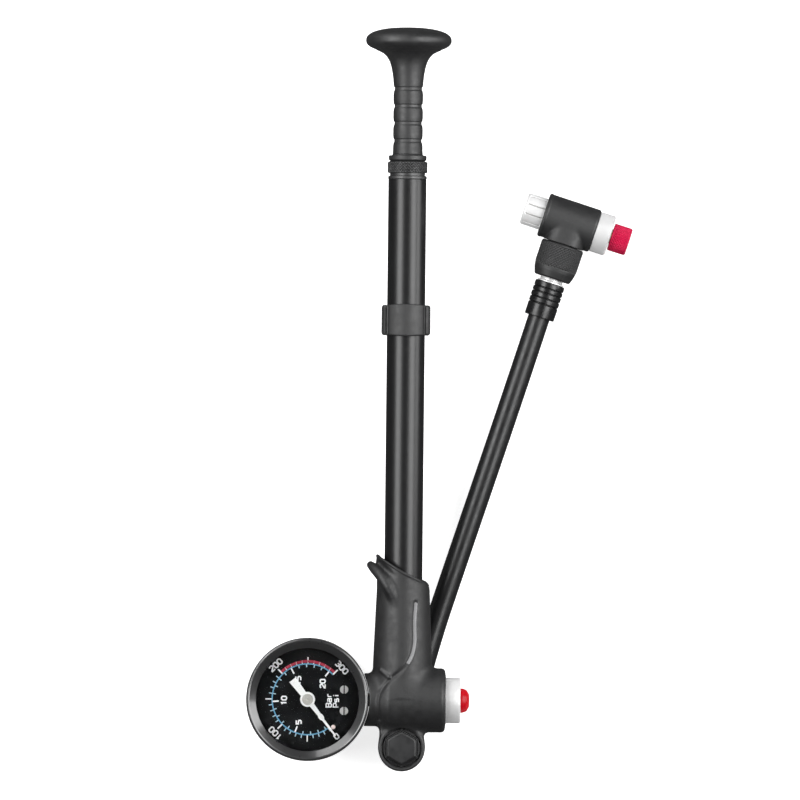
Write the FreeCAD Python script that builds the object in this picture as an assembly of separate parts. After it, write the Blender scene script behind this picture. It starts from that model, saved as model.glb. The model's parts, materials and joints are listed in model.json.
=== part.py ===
"""Shock suspension pump, lying on its back with its hose swung out to the right.

Everything is drawn in the pump's own axes first: the barrel's axis is X = 0, Z = 0 and points along +Y
to the handle, the cross tube's axis is Y = 0, Z = 0, and the gauge faces +Z. place() then moves each
piece so that the origin is in the middle of the footprint, on the surface that the pump lies on.
Lengths are millimetres.
"""
import FreeCAD, Part
import math
import os

V = FreeCAD.Vector
DIRECTIONS = {"X": V(1, 0, 0), "Y": V(0, 1, 0), "Z": V(0, 0, 1)}

# ---- driving dimensions -------------------------------------------------------------------------
PLAY = 0.05                # radial gap between pieces that turn or slide in each other

BARREL_R = 6.4
BARREL_BORE_R = 5.3
BARREL_FOOT_Y = 14.0
BARREL_TOP_Y = 175.0
ROD_R = 3.0
ROD_FOOT_Y = 17.5
PISTON_Y = (16.0, 26.0)
BUMPER_Y = (26.1, 31.0)
GLAND_SKIRT_Y = 165.0
GLAND_TOP_Y = 181.0
GLAND_R = 6.7
KNOB_TOP_Y = 226.0
KNOB_R = 14.2
GRIP_R = 5.0
GRIP_FOOT_Y = 183.4
GRIP_GROOVES_Y = (188.0, 193.9, 199.7, 205.5)
ROD_TOP_Y = 214.0

NECK_R = 8.9               # cross tube, gauge side
SHOULDER_R = 10.8          # cross tube, bleed valve side
SHOULDER_X = 15.0
SOCKET_R = 9.9             # socket at its foot; it narrows to the mouth
MOUTH_R = 8.9
BOSS_Y = -16.0
BOSS_R = 7.85
BOSS_FRONT_Z = 5.6
BODY_BACK_Z = -9.3         # flat behind the cross tube where the banjo swings
SWING_POCKET_R = 27.0

GAUGE_X = -31.7
GAUGE_R = 20.6             # bezel
CASE_R = 19.9
CASE_WALL = 1.0
CASE_BACK_Z = -17.5
BEZEL_TOP_Z = 8.6
DIAL_R = 17.7
DIAL_Z = (2.4, 2.8)
LENS_Z = (5.2, 6.2)
NEEDLE_Z = (3.6, 3.9)
NEEDLE_REST_DEG = -52.0
NEEDLE_LENGTH = 15.6
SECTOR_AXIS_OFFSET = 6.0
PINION_R = 0.9
STEM_R = 4.0               # gauge stem inside the base; a thinner neck goes through the bezel and the case
STEM_NECK_R = 2.2

BLEED_R = 7.65
BLEED_X = 19.6
BUTTON_R = 4.1
BUTTON_X = 22.6

CLIP_Y = (122.6, 132.7)
CLIP_HALF_WIDTH = 8.2
CLIP_BAND_R = 7.9

HOSE_DEPTH = 14.1          # the hose arm's plane, behind the barrel's axis
HOSE_R = 3.72
FERRULE_R = 4.5
BANJO_R = 7.4
BANJO_HALF_THICK = 4.5
BOLT_R = 3.0
BOLT_HEAD_R = 5.6

HEAD_R = 7.4               # the T piece; it touches the surface, and so sets the pump's height
HEAD_MIDDLE_S = 27.5       # from the middle of the upper ferrule to the T piece's axis
HEAD_LEFT_T = -9.3
HEAD_RIGHT_T = 8.9
NOZZLE_R = 5.45
NOZZLE_END_T = -16.3
VALVE_BORE_R = 3.9
COLLAR_R = 7.0
COLLAR_END_T = 14.2
HEAD_KNOB_R = 4.7
HEAD_KNOB_START_T = 14.5
HEAD_KNOB_END_T = 20.8

# The hose runs out of the lower ferrule in straight runs: (bearing from +Y towards +X, length).
# It leaves the base at a steeper bearing than it settles to, because the banjo's neck isn't quite
# in line with where the head lies.
FERRULE_END = 22.0
HOSE_RUNS = ((14.4, 15.0), (18.0, 25.0), (18.3, 35.0), (18.1, 35.0), (17.7, 20.0))
UPPER_FERRULE_HALF = 6.0

# ---- places worked out from them ----------------------------------------------------------------
LYING_HEIGHT = HOSE_DEPTH + HEAD_R
MIDDLE_X = (GAUGE_X - GAUGE_R + BUTTON_X) / 2
MIDDLE_Y = (BOSS_Y - BOSS_R + KNOB_TOP_Y) / 2
TO_FOOTPRINT = V(-MIDDLE_X, -MIDDLE_Y, LYING_HEIGHT)
PIVOT = V(0, BOSS_Y, -HOSE_DEPTH)
GAUGE_AXIS = V(GAUGE_X, 0, 0)
DIAL_SCREWS_AT = (V(-19.5, 3.6, 0), V(-19.5, -3.6, 0))
STOP_PIN_AT = V(-23.0, -9.2, 0)


def bearing(degrees):
    """Unit vector in the hose arm's plane, turned from +Y towards +X."""
    turn = math.radians(degrees)
    return V(math.sin(turn), math.cos(turn), 0)


def hose_points():
    """The corners of the hose's route, from the lower ferrule's mouth to the upper one's."""
    points = [PIVOT + bearing(HOSE_RUNS[0][0]) * FERRULE_END]
    for degrees, length in HOSE_RUNS:
        points.append(points[-1] + bearing(degrees) * length)
    return points


HEAD_BEARING = HOSE_RUNS[-1][0]
HEAD_ORIGIN = hose_points()[-1] + bearing(HEAD_BEARING) * UPPER_FERRULE_HALF


# ---- shape helpers ------------------------------------------------------------------------------
def cyl(axis, radius, start, end, at=V(0, 0, 0)):
    """Cylinder along a main axis through the point at, from start to end."""
    direction = DIRECTIONS[axis]
    return Part.makeCylinder(radius, end - start, at + direction * start, direction)


def ring(axis, outer, inner, start, end, at=V(0, 0, 0)):
    return cyl(axis, outer, start, end, at).cut(cyl(axis, inner, start, end, at))


def turned(axis, outline, at=V(0, 0, 0)):
    """Solid turned about a main axis; the outline is (station along the axis, radius) points."""
    along = DIRECTIONS[axis]
    out = DIRECTIONS["Z"] if axis != "Z" else DIRECTIONS["X"]
    points = [at + along * station + out * radius for station, radius in outline]
    face = Part.Face(Part.makePolygon(points + points[:1]))
    return face.revolve(at, along, 360)


def block(x, y, z):
    """Box from three (low, high) pairs."""
    return Part.makeBox(x[1] - x[0], y[1] - y[0], z[1] - z[0], V(x[0], y[0], z[0]))


def prism(outline, low, high):
    """Flat outline in X and Y, raised from low to high along Z."""
    points = [V(x, y, low) for x, y in outline]
    return Part.Face(Part.makePolygon(points + points[:1])).extrude(V(0, 0, high - low))


def joined(first, *rest):
    return first.fuse(list(rest)).removeSplitter()


def rounded(shape, radius, wanted):
    """Fillet the edges whose centre passes the test wanted(point)."""
    edges = [edge for edge in shape.Edges if wanted(edge.CenterOfMass)]
    return shape.makeFillet(radius, edges)


def o_ring(axis, radius, thickness, station, at=V(0, 0, 0)):
    """Torus whose outer radius is given."""
    direction = DIRECTIONS[axis]
    return Part.makeTorus(radius - thickness / 2, thickness / 2, at + direction * station, direction)


def coil(axis, radius, wire, pitch, start, end, at=V(0, 0, 0)):
    """Helical spring of round wire, built along Z and then turned to its axis."""
    helix = Part.makeHelix(pitch, end - start, radius)
    section = Part.Wire(Part.makeCircle(wire / 2, V(radius, 0, 0), V(0, 1, 0)))
    spring = Part.Wire(helix).makePipeShell([section], True, True)
    spring.Placement = FreeCAD.Placement(at + DIRECTIONS[axis] * start,
                                         FreeCAD.Rotation(V(0, 0, 1), DIRECTIONS[axis]))
    return spring


def arm_piece(shape, degrees, origin):
    """Move a piece drawn along +Y about the origin into the hose arm, at a bearing."""
    moved = shape.copy()
    moved.Placement = FreeCAD.Placement(origin, FreeCAD.Rotation(V(0, 0, 1), -degrees))
    return moved


def head_piece(shape):
    """Head pieces are drawn with Y up the hose and X along the T piece, to the right."""
    return arm_piece(shape, HEAD_BEARING, HEAD_ORIGIN)


# ---- handle and plunger -------------------------------------------------------------------------
def handle_grip():
    outline = [(GRIP_FOOT_Y, 0), (GRIP_FOOT_Y, GRIP_R - 0.3), (GRIP_FOOT_Y + 0.3, GRIP_R)]
    for middle in GRIP_GROOVES_Y:
        outline += [(middle - 0.75, GRIP_R), (middle, GRIP_R - 0.45), (middle + 0.75, GRIP_R)]
    outline += [(210.0, 5.3), (214.0, 5.9), (215.8, 6.6), (217.5, 8.5), (218.8, 11.0), (220.0, 13.2),
                (221.0, KNOB_R - 0.1), (222.0, KNOB_R), (223.2, 13.4), (224.5, 11.4), (225.5, 7.6),
                (KNOB_TOP_Y, 3.2), (KNOB_TOP_Y, 0)]
    return turned("Y", outline).cut(cyl("Y", ROD_R + PLAY, GRIP_FOOT_Y - 1, ROD_TOP_Y))


def handle_ferrule():
    return ring("Y", 6.4, ROD_R + PLAY, 181.2, GRIP_FOOT_Y - 0.1)


def plunger_rod():
    return cyl("Y", ROD_R, ROD_FOOT_Y, ROD_TOP_Y - 0.1)


def piston():
    foot, top = PISTON_Y
    body = cyl("Y", BARREL_BORE_R - PLAY, foot, top)
    groove = ring("Y", BARREL_BORE_R + 1, 4.1, 19.6, 21.0)
    return body.cut(groove).cut(cyl("Y", ROD_R + 0.01, ROD_FOOT_Y, top + 1))


def piston_seal():
    return o_ring("Y", BARREL_BORE_R - 0.02, 1.1, 20.3)


def rod_bumper():
    return ring("Y", 4.6, ROD_R + 0.02, *BUMPER_Y)


# ---- barrel -------------------------------------------------------------------------------------
def barrel():
    return ring("Y", BARREL_R, BARREL_BORE_R, BARREL_FOOT_Y, BARREL_TOP_Y)


def barrel_seal():
    return ring("Y", BARREL_R - 0.05, 4.9, 13.05, 13.95)


def gland_cap():
    inner = BARREL_BORE_R - 0.04
    outline = [(GLAND_SKIRT_Y, 4.0), (GLAND_SKIRT_Y, inner), (BARREL_TOP_Y + 0.02, inner),
               (BARREL_TOP_Y + 0.02, 6.5), (176.0, 6.5), (176.0, 5.9), (177.0, 5.9),
               (177.0, GLAND_R - 0.3), (177.3, GLAND_R), (180.6, GLAND_R), (GLAND_TOP_Y, GLAND_R - 0.5),
               (GLAND_TOP_Y, 4.6), (178.5, 4.6), (178.5, ROD_R + 0.3), (172.0, ROD_R + 0.3),
               (172.0, 4.0)]
    return turned("Y", outline)


def gland_bush():
    return ring("Y", 3.98, ROD_R + PLAY, GLAND_SKIRT_Y + 0.2, 171.9)


def wiper_seal():
    return ring("Y", 4.55, ROD_R + 0.03, 178.6, 180.7)


# ---- base ---------------------------------------------------------------------------------------
def socket_with_mouth():
    """Socket round the barrel; its mouth is cut on a slant and runs out to a flared lip on the left."""
    cone = turned("Y", [(4, 0), (4, SOCKET_R), (12, SOCKET_R), (37, MOUTH_R), (50, MOUTH_R - 0.1), (50, 0)])
    slant = prism([(-20, 54.6), (-6.5, 47.3), (0, 43.3), (5, 41.0), (20, 35.6), (20, 60), (-20, 60)], -12, 12)
    front_lip = [(-7, 37), (-8.9, 38.2), (-9.3, 40.5), (-10.5, 43), (-12.1, 44.9), (-12.3, 45.8),
                 (-11.4, 46.6), (-9.3, 46.6), (-6.6, 46.2)]
    rear_lip = [(-6.5, 40), (-8.7, 40), (-9.2, 46.6), (-8.6, 48.5), (-6.5, 47.3)]
    return joined(cone.cut(slant), prism(front_lip, -2.0, 4.5), prism(rear_lip, -5.0, 1.5))


def cross_tube():
    shoulder = rounded(cyl("X", SHOULDER_R, -8, SHOULDER_X), 1.0, lambda point: point.x > SHOULDER_X - 0.1)
    return joined(shoulder, cyl("X", NECK_R, -16, -7))


def boss():
    post = rounded(cyl("Z", BOSS_R, BODY_BACK_Z, BOSS_FRONT_Z, V(0, BOSS_Y, 0)), 0.7,
                   lambda point: point.z > BOSS_FRONT_Z - 0.1)
    return joined(post, block((-7.6, 7.6), (BOSS_Y, -6), (BODY_BACK_Z, BOSS_FRONT_Z - 0.7)))


def base_hollows():
    """Bores for the barrel, check valve, gauge stem, bleed valve and pivot bolt, with the air ways."""
    pivot = V(0, BOSS_Y, 0)
    return [
        cyl("Y", BARREL_R + 0.04, 13.0, 60),
        cyl("Y", 4.0, 4.0, 13.0),
        cyl("Y", 1.2, BOSS_Y, 4.1),
        cyl("X", STEM_R + PLAY, -20, -4.0),
        cyl("X", 1.2, -4.1, -1.9),
        cyl("X", 2.8, -2.0, 7.0),
        cyl("X", 5.65, 7.0, 16.0),
        cyl("Z", BOLT_R + 0.04, -20, 1.5, pivot),
        cyl("Z", 6.25, 3.4, 12, pivot),
        cyl("Z", 3.0, 1.4, 4, pivot),
        cyl("Z", GAUGE_R + 0.1, -30, 20, GAUGE_AXIS),
        cyl("Z", SWING_POCKET_R, -20, BODY_BACK_Z, pivot),
    ]


def base_body():
    return joined(socket_with_mouth(), cross_tube(), boss()).cut(base_hollows()).removeSplitter()


def check_valve_seat():
    return ring("Y", 3.95, 1.0, 9.6, 12.9)


def check_valve_disc():
    return cyl("Y", 3.1, 8.5, 9.5)


def check_valve_spring():
    return coil("Y", 2.6, 0.5, 1.3, 4.4, 8.1)


def pivot_plug():
    """Cap pressed into the front of the boss, with a low eight-sided face."""
    pivot = V(0, BOSS_Y, 0)
    cap = turned("Z", [(3.5, 0), (3.5, 6.2), (5.2, 6.2), (5.7, 5.9), (7.3, 4.7), (7.3, 0)], pivot)
    corners = []
    for number in range(8):
        turn = math.radians(22.5 + 45 * number)
        corners.append((5.75 * math.cos(turn), BOSS_Y + 5.75 * math.sin(turn)))
    return cap.cut(cyl("Z", 8, 5.7, 9, pivot).cut(prism(corners, 5, 10)))


def pivot_bolt():
    """Hollow bolt up through the banjo into the boss."""
    head_back = -LYING_HEIGHT
    head_face = -HOSE_DEPTH - BANJO_HALF_THICK - 0.08
    pivot = V(0, BOSS_Y, 0)
    body = joined(cyl("Z", BOLT_HEAD_R, head_back, head_face, pivot), cyl("Z", BOLT_R, head_face - 1, 1.2, pivot))
    body = rounded(body, 0.5, lambda point: point.z < head_back + 0.1)
    socket = []
    for number in range(6):
        turn = math.radians(60 * number)
        socket.append((2.9 * math.cos(turn), BOSS_Y + 2.9 * math.sin(turn)))
    grooves = [ring("Z", BOLT_R + 1, 2.35, z - 0.5, z + 0.5, pivot) for z in seal_heights()]
    bores = [prism(socket, head_back - 1, head_back + 1.9), cyl("Z", 0.9, -HOSE_DEPTH - 0.8, 3, pivot)]
    return body.cut(grooves + bores)


def seal_heights():
    return (-HOSE_DEPTH - 3.0, -HOSE_DEPTH + 3.0)


def pivot_seals():
    pivot = V(0, BOSS_Y, 0)
    return Part.makeCompound([o_ring("Z", BOLT_R + 0.02, 0.6, z, pivot) for z in seal_heights()])


# ---- gauge --------------------------------------------------------------------------------------
def gauge_stem():
    """Threaded spigot from the base into the case, with the foot block of the bourdon tube."""
    return joined(cyl("X", STEM_R, -10.9, -4.2), cyl("X", STEM_NECK_R, -15.5, -10.8),
                  block((-19.5, -13.4), (-2.8, 2.8), (-9.5, -1.0))).cut(cyl("X", 1.0, -17, 0))


def gauge_case():
    """Cup with a rounded back edge; the back has a round opening for its cover."""
    inner = CASE_R - CASE_WALL
    outline = [(CASE_BACK_Z, 13.1)]
    for step in range(6):
        turn = math.radians(18 * step)
        outline.append((CASE_BACK_Z + 1.5 * (1 - math.cos(turn)), CASE_R - 1.5 * (1 - math.sin(turn))))
    outline += [(4.4, CASE_R), (4.4, inner), (CASE_BACK_Z + CASE_WALL, inner), (CASE_BACK_Z + CASE_WALL, 13.1)]
    return turned("Z", outline, GAUGE_AXIS).cut(cyl("X", STEM_NECK_R + PLAY, -20, 0))


def gauge_back_cover():
    """Cover set in the back of the case; its raised middle rests on the table."""
    outline = [(CASE_BACK_Z + CASE_WALL + 0.9, 0), (CASE_BACK_Z + CASE_WALL + 0.9, 15.5),
               (CASE_BACK_Z + CASE_WALL + 0.05, 15.5), (CASE_BACK_Z + CASE_WALL + 0.05, 13.0),
               (-LYING_HEIGHT + 1.0, 13.0), (-LYING_HEIGHT, 12.0), (-LYING_HEIGHT, 0)]
    return turned("Z", outline, GAUGE_AXIS)


def gauge_bezel():
    outline = [(-1.5, CASE_R + 0.03), (-1.5, GAUGE_R - 0.3), (-1.2, GAUGE_R), (7.7, GAUGE_R),
               (8.4, GAUGE_R - 0.3), (BEZEL_TOP_Z, GAUGE_R - 0.8), (8.3, 19.6), (LENS_Z[1] + 0.2, 17.3),
               (LENS_Z[1] + 0.05, 17.3), (LENS_Z[1] + 0.05, 18.9), (4.6, 18.9), (4.6, CASE_R + 0.03)]
    return turned("Z", outline, GAUGE_AXIS).cut(cyl("X", STEM_NECK_R + PLAY, -20, 0))


def gauge_lens():
    return cyl("Z", 18.8, *LENS_Z, GAUGE_AXIS)


def gauge_dial():
    holes = [cyl("Z", 1.2, 0, 5, GAUGE_AXIS), cyl("Z", 0.5, 0, 5, STOP_PIN_AT)]
    holes += [cyl("Z", 0.7, 0, 5, at) for at in DIAL_SCREWS_AT]
    return cyl("Z", DIAL_R, *DIAL_Z, GAUGE_AXIS).cut(holes)


def dial_screws():
    """Two slotted screws that hold the dial to the movement's ears."""
    screws = []
    for at in DIAL_SCREWS_AT:
        head = rounded(cyl("Z", 1.4, DIAL_Z[1], 3.5, at), 0.25, lambda point: point.z > 3.4)
        slot = block((at.x - 2, at.x + 2), (at.y - 0.2, at.y + 0.2), (3.2, 4))
        screws.append(joined(head, cyl("Z", 0.65, 0.5, DIAL_Z[1] + 0.1, at)).cut(slot))
    return Part.makeCompound(screws)


def stop_pin():
    return cyl("Z", 0.45, DIAL_Z[0], 4.4, STOP_PIN_AT)


def bourdon_tube():
    """C-shaped pressure tube, from the foot block round to the linkage."""
    tube = Part.makeTorus(14.5, 1.4, GAUGE_AXIS + V(0, 0, -6), V(0, 0, 1), -180, 180, 250)
    tube.rotate(GAUGE_AXIS, V(0, 0, 1), 12.5)
    return tube


def movement_frame():
    """Two plates on posts that carry the sector and the pinion, with ears under the dial screws."""
    lower = cyl("Z", 8.2, -4.0, -3.2, GAUGE_AXIS)
    upper = cyl("Z", 8.2, -0.6, 0.2, GAUGE_AXIS)
    ears = block((GAUGE_X + 5, GAUGE_X + 14.4), (-5.2, 5.2), (-0.6, 0.2))
    posts = [cyl("Z", 0.9, -3.9, 0, GAUGE_AXIS + V(x, y, 0)) for x, y in ((6.6, 3.6), (6.6, -3.6), (-3.4, 6.9))]
    holes = [cyl("Z", 0.55, -9, 9, GAUGE_AXIS), cyl("Z", 0.55, -9, 9, GAUGE_AXIS + V(0, -SECTOR_AXIS_OFFSET, 0))]
    holes += [cyl("Z", 0.68, -1, 1, at) for at in DIAL_SCREWS_AT]
    return joined(lower, upper, ears, *posts).cut(holes)


def sector_gear():
    """Sector that the bourdon tube's end turns; it drives the pinion at the ratio of their radii."""
    pivot = GAUGE_AXIS + V(0, -SECTOR_AXIS_OFFSET, 0)
    reach = SECTOR_AXIS_OFFSET - PINION_R - PLAY
    wedge = prism([(0, 0), (-4.4, 5.4), (-2, 8), (2, 8), (4.4, 5.4)], -2.6, -1.8)
    wedge.translate(V(pivot.x, pivot.y, 0))
    fan = wedge.common(cyl("Z", reach, -2.6, -1.8, pivot))
    return joined(fan, cyl("Z", 1.1, -2.9, -1.0, pivot), cyl("Z", 0.5, -4.3, 0.5, pivot))


def pinion_arbor():
    return joined(cyl("Z", 0.5, -4.3, 3.5, GAUGE_AXIS), cyl("Z", PINION_R, -2.7, -1.7, GAUGE_AXIS))


def needle():
    """White pointer with a broad tail, drawn along +X and turned to its rest."""
    outline = [(-7.9, -1.9), (-7.9, 1.9), (-2.0, 1.2), (2.0, 0.95), (NEEDLE_LENGTH - 1.2, 0.3),
               (NEEDLE_LENGTH, 0), (NEEDLE_LENGTH - 1.2, -0.3), (2.0, -0.95), (-2.0, -1.2)]
    pointer = prism(outline, *NEEDLE_Z).cut(cyl("Z", 0.52, 3, 5))
    pointer.rotate(V(0, 0, 0), V(0, 0, 1), NEEDLE_REST_DEG)
    pointer.translate(GAUGE_AXIS)
    return pointer


def needle_cap():
    cap = cyl("Z", 2.5, NEEDLE_Z[1] + 0.01, 4.7, GAUGE_AXIS)
    return rounded(cap, 0.3, lambda point: point.z > 4.6)


# ---- bleed valve --------------------------------------------------------------------------------
def bleed_sleeve():
    outline = [(7.05, 1.35), (7.05, 5.6), (SHOULDER_X + 0.3, 5.6), (SHOULDER_X + 0.3, BLEED_R),
               (BLEED_X - 0.6, BLEED_R), (BLEED_X, BLEED_R - 0.6), (BLEED_X, BUTTON_R + PLAY),
               (17.0, BUTTON_R + PLAY), (17.0, 5.0), (9.0, 5.0), (9.0, 1.35)]
    return turned("X", outline)


def bleed_button():
    """Red push button; its flange is kept in by the sleeve's lip."""
    outline = [(15.4, 0), (15.4, 4.8), (16.8, 4.8), (16.8, BUTTON_R), (20.4, BUTTON_R), (21.4, 3.85),
               (22.1, 3.2), (22.5, 2.1), (BUTTON_X, 0)]
    return turned("X", outline)


def bleed_stem():
    return joined(cyl("X", 1.2, 3.0, 15.35), cyl("X", 2.0, 3.0, 3.8))


def bleed_seal():
    return ring("X", 2.3, 1.22, 3.85, 6.95)


def bleed_spring():
    return coil("X", 2.9, 0.5, 1.2, 9.4, 14.7)


# ---- hose clip ----------------------------------------------------------------------------------
def hose_clip():
    """Band round the barrel with a slot behind it, open to the right, that takes the folded hose."""
    low, high = CLIP_Y
    back = -HOSE_DEPTH - 5.4
    band = cyl("Y", CLIP_BAND_R, low, high).common(block((-5.9, 5.9), (low, high), (0, 10)))
    body = block((-CLIP_HALF_WIDTH, CLIP_HALF_WIDTH), (low, high), (back, 4.6))
    body = rounded(body, 1.2, lambda point: abs(point.y - (low + high) / 2) < 0.1)
    body = joined(body, band)
    slot_half = 3.95
    slot = joined(block((-1.6, 7.2), (low - 1, high + 1), (-HOSE_DEPTH - slot_half, -HOSE_DEPTH + slot_half)),
                  cyl("Y", slot_half, low - 1, high + 1, V(-1.6, 0, -HOSE_DEPTH)),
                  block((7, 9), (low - 1, high + 1), (-HOSE_DEPTH - 3.8, -HOSE_DEPTH + 3.8)))
    return body.cut([slot, cyl("Y", BARREL_R + PLAY, low - 1, high + 1)]).removeSplitter()


# ---- hose arm -----------------------------------------------------------------------------------
def banjo():
    eye = cyl("Z", BANJO_R, -BANJO_HALF_THICK, BANJO_HALF_THICK)
    eye = rounded(eye, 0.6, lambda point: abs(point.z) > BANJO_HALF_THICK - 0.1)
    spigot = cyl("Y", 1.9, 5, 16)
    body = joined(eye, spigot).cut([cyl("Z", BOLT_R + PLAY, -9, 9), cyl("Y", 0.8, 0, 17)])
    return arm_piece(body, HOSE_RUNS[0][0], PIVOT)


def lower_ferrule():
    shell = turned("Y", [(7.6, 1.95), (7.6, 4.1), (8.0, FERRULE_R), (12.6, FERRULE_R), (13.0, 4.2),
                         (13.4, FERRULE_R), (16.6, FERRULE_R), (17.0, 4.2), (17.4, FERRULE_R),
                         (FERRULE_END - 0.4, FERRULE_R), (FERRULE_END, 4.1), (FERRULE_END, 1.95)])
    return arm_piece(shell, HOSE_RUNS[0][0], PIVOT)


def hose_path():
    """Straight runs joined by tangent arcs, each as large as its two runs allow."""
    points = hose_points()
    edges = []
    start = points[0]
    for before, corner, after in zip(points, points[1:], points[2:]):
        into = (corner - before).normalize()
        out = (after - corner).normalize()
        setback = 0.45 * min((corner - before).Length, (after - corner).Length)
        half_turn = into.getAngle(out) / 2
        radius = setback / math.tan(half_turn)
        print("hose arc radius", round(radius), "mm")
        first = corner - into * setback
        last = corner + out * setback
        towards_centre = (out - into).normalize()
        middle = corner + towards_centre * (radius / math.cos(half_turn) - radius)
        edges.append(Part.LineSegment(start, first).toShape())
        edges.append(Part.Arc(first, middle, last).toShape())
        start = last
    edges.append(Part.LineSegment(start, points[-1]).toShape())
    return Part.Wire(edges)


def hose():
    path = hose_path()
    section = Part.Wire(Part.makeCircle(HOSE_R, hose_points()[0], bearing(HOSE_RUNS[0][0])))
    tube = path.makePipeShell([section], True, True)
    expected = math.pi * HOSE_R ** 2 * path.Length
    print("hose length", round(path.Length, 1), "mm, volume ratio", round(tube.Volume / expected, 4))
    return tube


def upper_ferrule():
    outline = [(-UPPER_FERRULE_HALF, 0), (-UPPER_FERRULE_HALF, 4.9), (-5.6, 5.1), (-1.9, 5.15)]
    for groove in (-1.4, -0.6, 1.9, 4.7):
        outline += [(groove - 0.3, 5.15), (groove, 4.85), (groove + 0.3, 5.15)]
    outline += [(5.9, 5.15), (6.3, 4.8), (6.3, 0)]
    return head_piece(turned("Y", outline))


def hose_nipple():
    """Bright six-sided shank between the ferrule and the swivel sleeve, with the pivot inside it."""
    corners = []
    for number in range(6):
        turn = math.radians(30 + 60 * number)
        corners.append(V(4.3 * math.cos(turn), 6.35, 4.3 * math.sin(turn)))
    nut = Part.Face(Part.makePolygon(corners + corners[:1])).extrude(V(0, 4.5, 0))
    return head_piece(joined(nut, cyl("Y", 3.0, 10, 21)))


# ---- head ---------------------------------------------------------------------------------------
def swivel_sleeve():
    outline = [(7.3, 4.5), (7.3, 5.9), (7.6, 6.15), (10.0, 6.95), (12.0, 7.25), (14.0, 7.35), (18.6, 7.35),
               (19.6, 7.15), (19.9, 6.9), (19.9, 3.1), (11.0, 3.1), (11.0, 4.5)]
    return head_piece(turned("Y", outline))


def head_body():
    """T piece: a cylinder across the hose, with a round-topped stem standing into it."""
    middle = V(0, HEAD_MIDDLE_S, 0)
    tee = cyl("X", HEAD_R, HEAD_LEFT_T, HEAD_RIGHT_T, middle)
    tee = tee.makeChamfer(0.9, [edge for edge in tee.Edges if edge.Curve.TypeId == "Part::GeomCircle"])
    stem = cyl("Z", 4.9, -9, 9, V(0, 20.4, 0)).common(cyl("Y", 7.2, 19.95, 27))
    body = joined(tee, stem)
    return head_piece(body.cut([
        cyl("Y", 3.1, 15, 21.3),
        cyl("Y", 1.2, 21, HEAD_MIDDLE_S),
        cyl("X", 4.65, HEAD_LEFT_T - 1, -3.9, middle),
        cyl("X", 1.8, -4, 5, middle),
        cyl("X", 4.65, 4.0, HEAD_RIGHT_T + 1, middle),
    ]))


def head_collar():
    middle = V(0, HEAD_MIDDLE_S, 0)
    outline = [(4.1, 2.55), (4.1, 4.6), (HEAD_RIGHT_T + 0.02, 4.6), (HEAD_RIGHT_T + 0.02, COLLAR_R - 0.2),
               (9.3, COLLAR_R), (13.6, COLLAR_R), (COLLAR_END_T, COLLAR_R - 0.6), (COLLAR_END_T, 2.55)]
    return head_piece(turned("X", outline, middle))


def valve_nozzle():
    """Threaded cup that screws onto the tyre-type valve of a damper; it turns in the T piece."""
    middle = V(0, HEAD_MIDDLE_S, 0)
    seat = NOZZLE_END_T + 8.0
    outline = [(NOZZLE_END_T, VALVE_BORE_R), (NOZZLE_END_T, NOZZLE_R - 0.4), (NOZZLE_END_T + 0.4, NOZZLE_R),
               (HEAD_LEFT_T - 0.1, NOZZLE_R), (HEAD_LEFT_T - 0.1, 4.6), (-4.0, 4.6), (-4.0, 1.8),
               (seat + 1.0, 1.8), (seat + 1.0, 3.6), (seat, 3.6), (seat, VALVE_BORE_R)]
    return head_piece(turned("X", outline, middle))


def nozzle_seal():
    seat = NOZZLE_END_T + 8.0
    return head_piece(ring("X", 3.58, 1.5, seat + 0.05, seat + 0.95, V(0, HEAD_MIDDLE_S, 0)))


def valve_pin():
    """Pin that opens the valve's core when the red knob is screwed in."""
    middle = V(0, HEAD_MIDDLE_S, 0)
    return head_piece(joined(cyl("X", 0.9, NOZZLE_END_T + 8.3, 6.0, middle), cyl("X", 1.2, 4.5, 11.0, middle)))


def pin_seal():
    return head_piece(ring("X", 1.75, 0.95, 1.0, 2.2, V(0, HEAD_MIDDLE_S, 0)))


def knob_spindle():
    """Threaded spindle of the red knob; it carries the pin."""
    outline = [(6.0, 1.25), (6.0, 2.5), (HEAD_KNOB_START_T, 2.5), (HEAD_KNOB_START_T, 0), (11.1, 0), (11.1, 1.25)]
    return head_piece(turned("X", outline, V(0, HEAD_MIDDLE_S, 0)))


def head_knob():
    outline = [(HEAD_KNOB_START_T, 0), (HEAD_KNOB_START_T, HEAD_KNOB_R - 0.3), (HEAD_KNOB_START_T + 0.3, HEAD_KNOB_R),
               (HEAD_KNOB_END_T - 0.4, HEAD_KNOB_R), (HEAD_KNOB_END_T, HEAD_KNOB_R - 0.4), (HEAD_KNOB_END_T, 0)]
    return head_piece(turned("X", outline, V(0, HEAD_MIDDLE_S, 0)))


PIECES = [
    handle_grip, handle_ferrule, plunger_rod, piston, piston_seal, rod_bumper,
    barrel, barrel_seal, gland_cap, gland_bush, wiper_seal,
    base_body, check_valve_seat, check_valve_disc, check_valve_spring, pivot_plug, pivot_bolt, pivot_seals,
    gauge_stem, gauge_case, gauge_back_cover, gauge_bezel, gauge_lens, gauge_dial, dial_screws, stop_pin,
    bourdon_tube, movement_frame, sector_gear, pinion_arbor, needle, needle_cap,
    bleed_sleeve, bleed_button, bleed_stem, bleed_seal, bleed_spring,
    hose_clip, banjo, lower_ferrule, hose, upper_ferrule, hose_nipple,
    swivel_sleeve, head_body, head_collar, valve_nozzle, nozzle_seal, valve_pin, pin_seal,
    knob_spindle, head_knob,
]


def place(shape):
    """Move a piece from the pump's own axes to the footprint's middle."""
    placed = shape.copy()
    placed.translate(TO_FOOTPRINT)
    return placed


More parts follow.
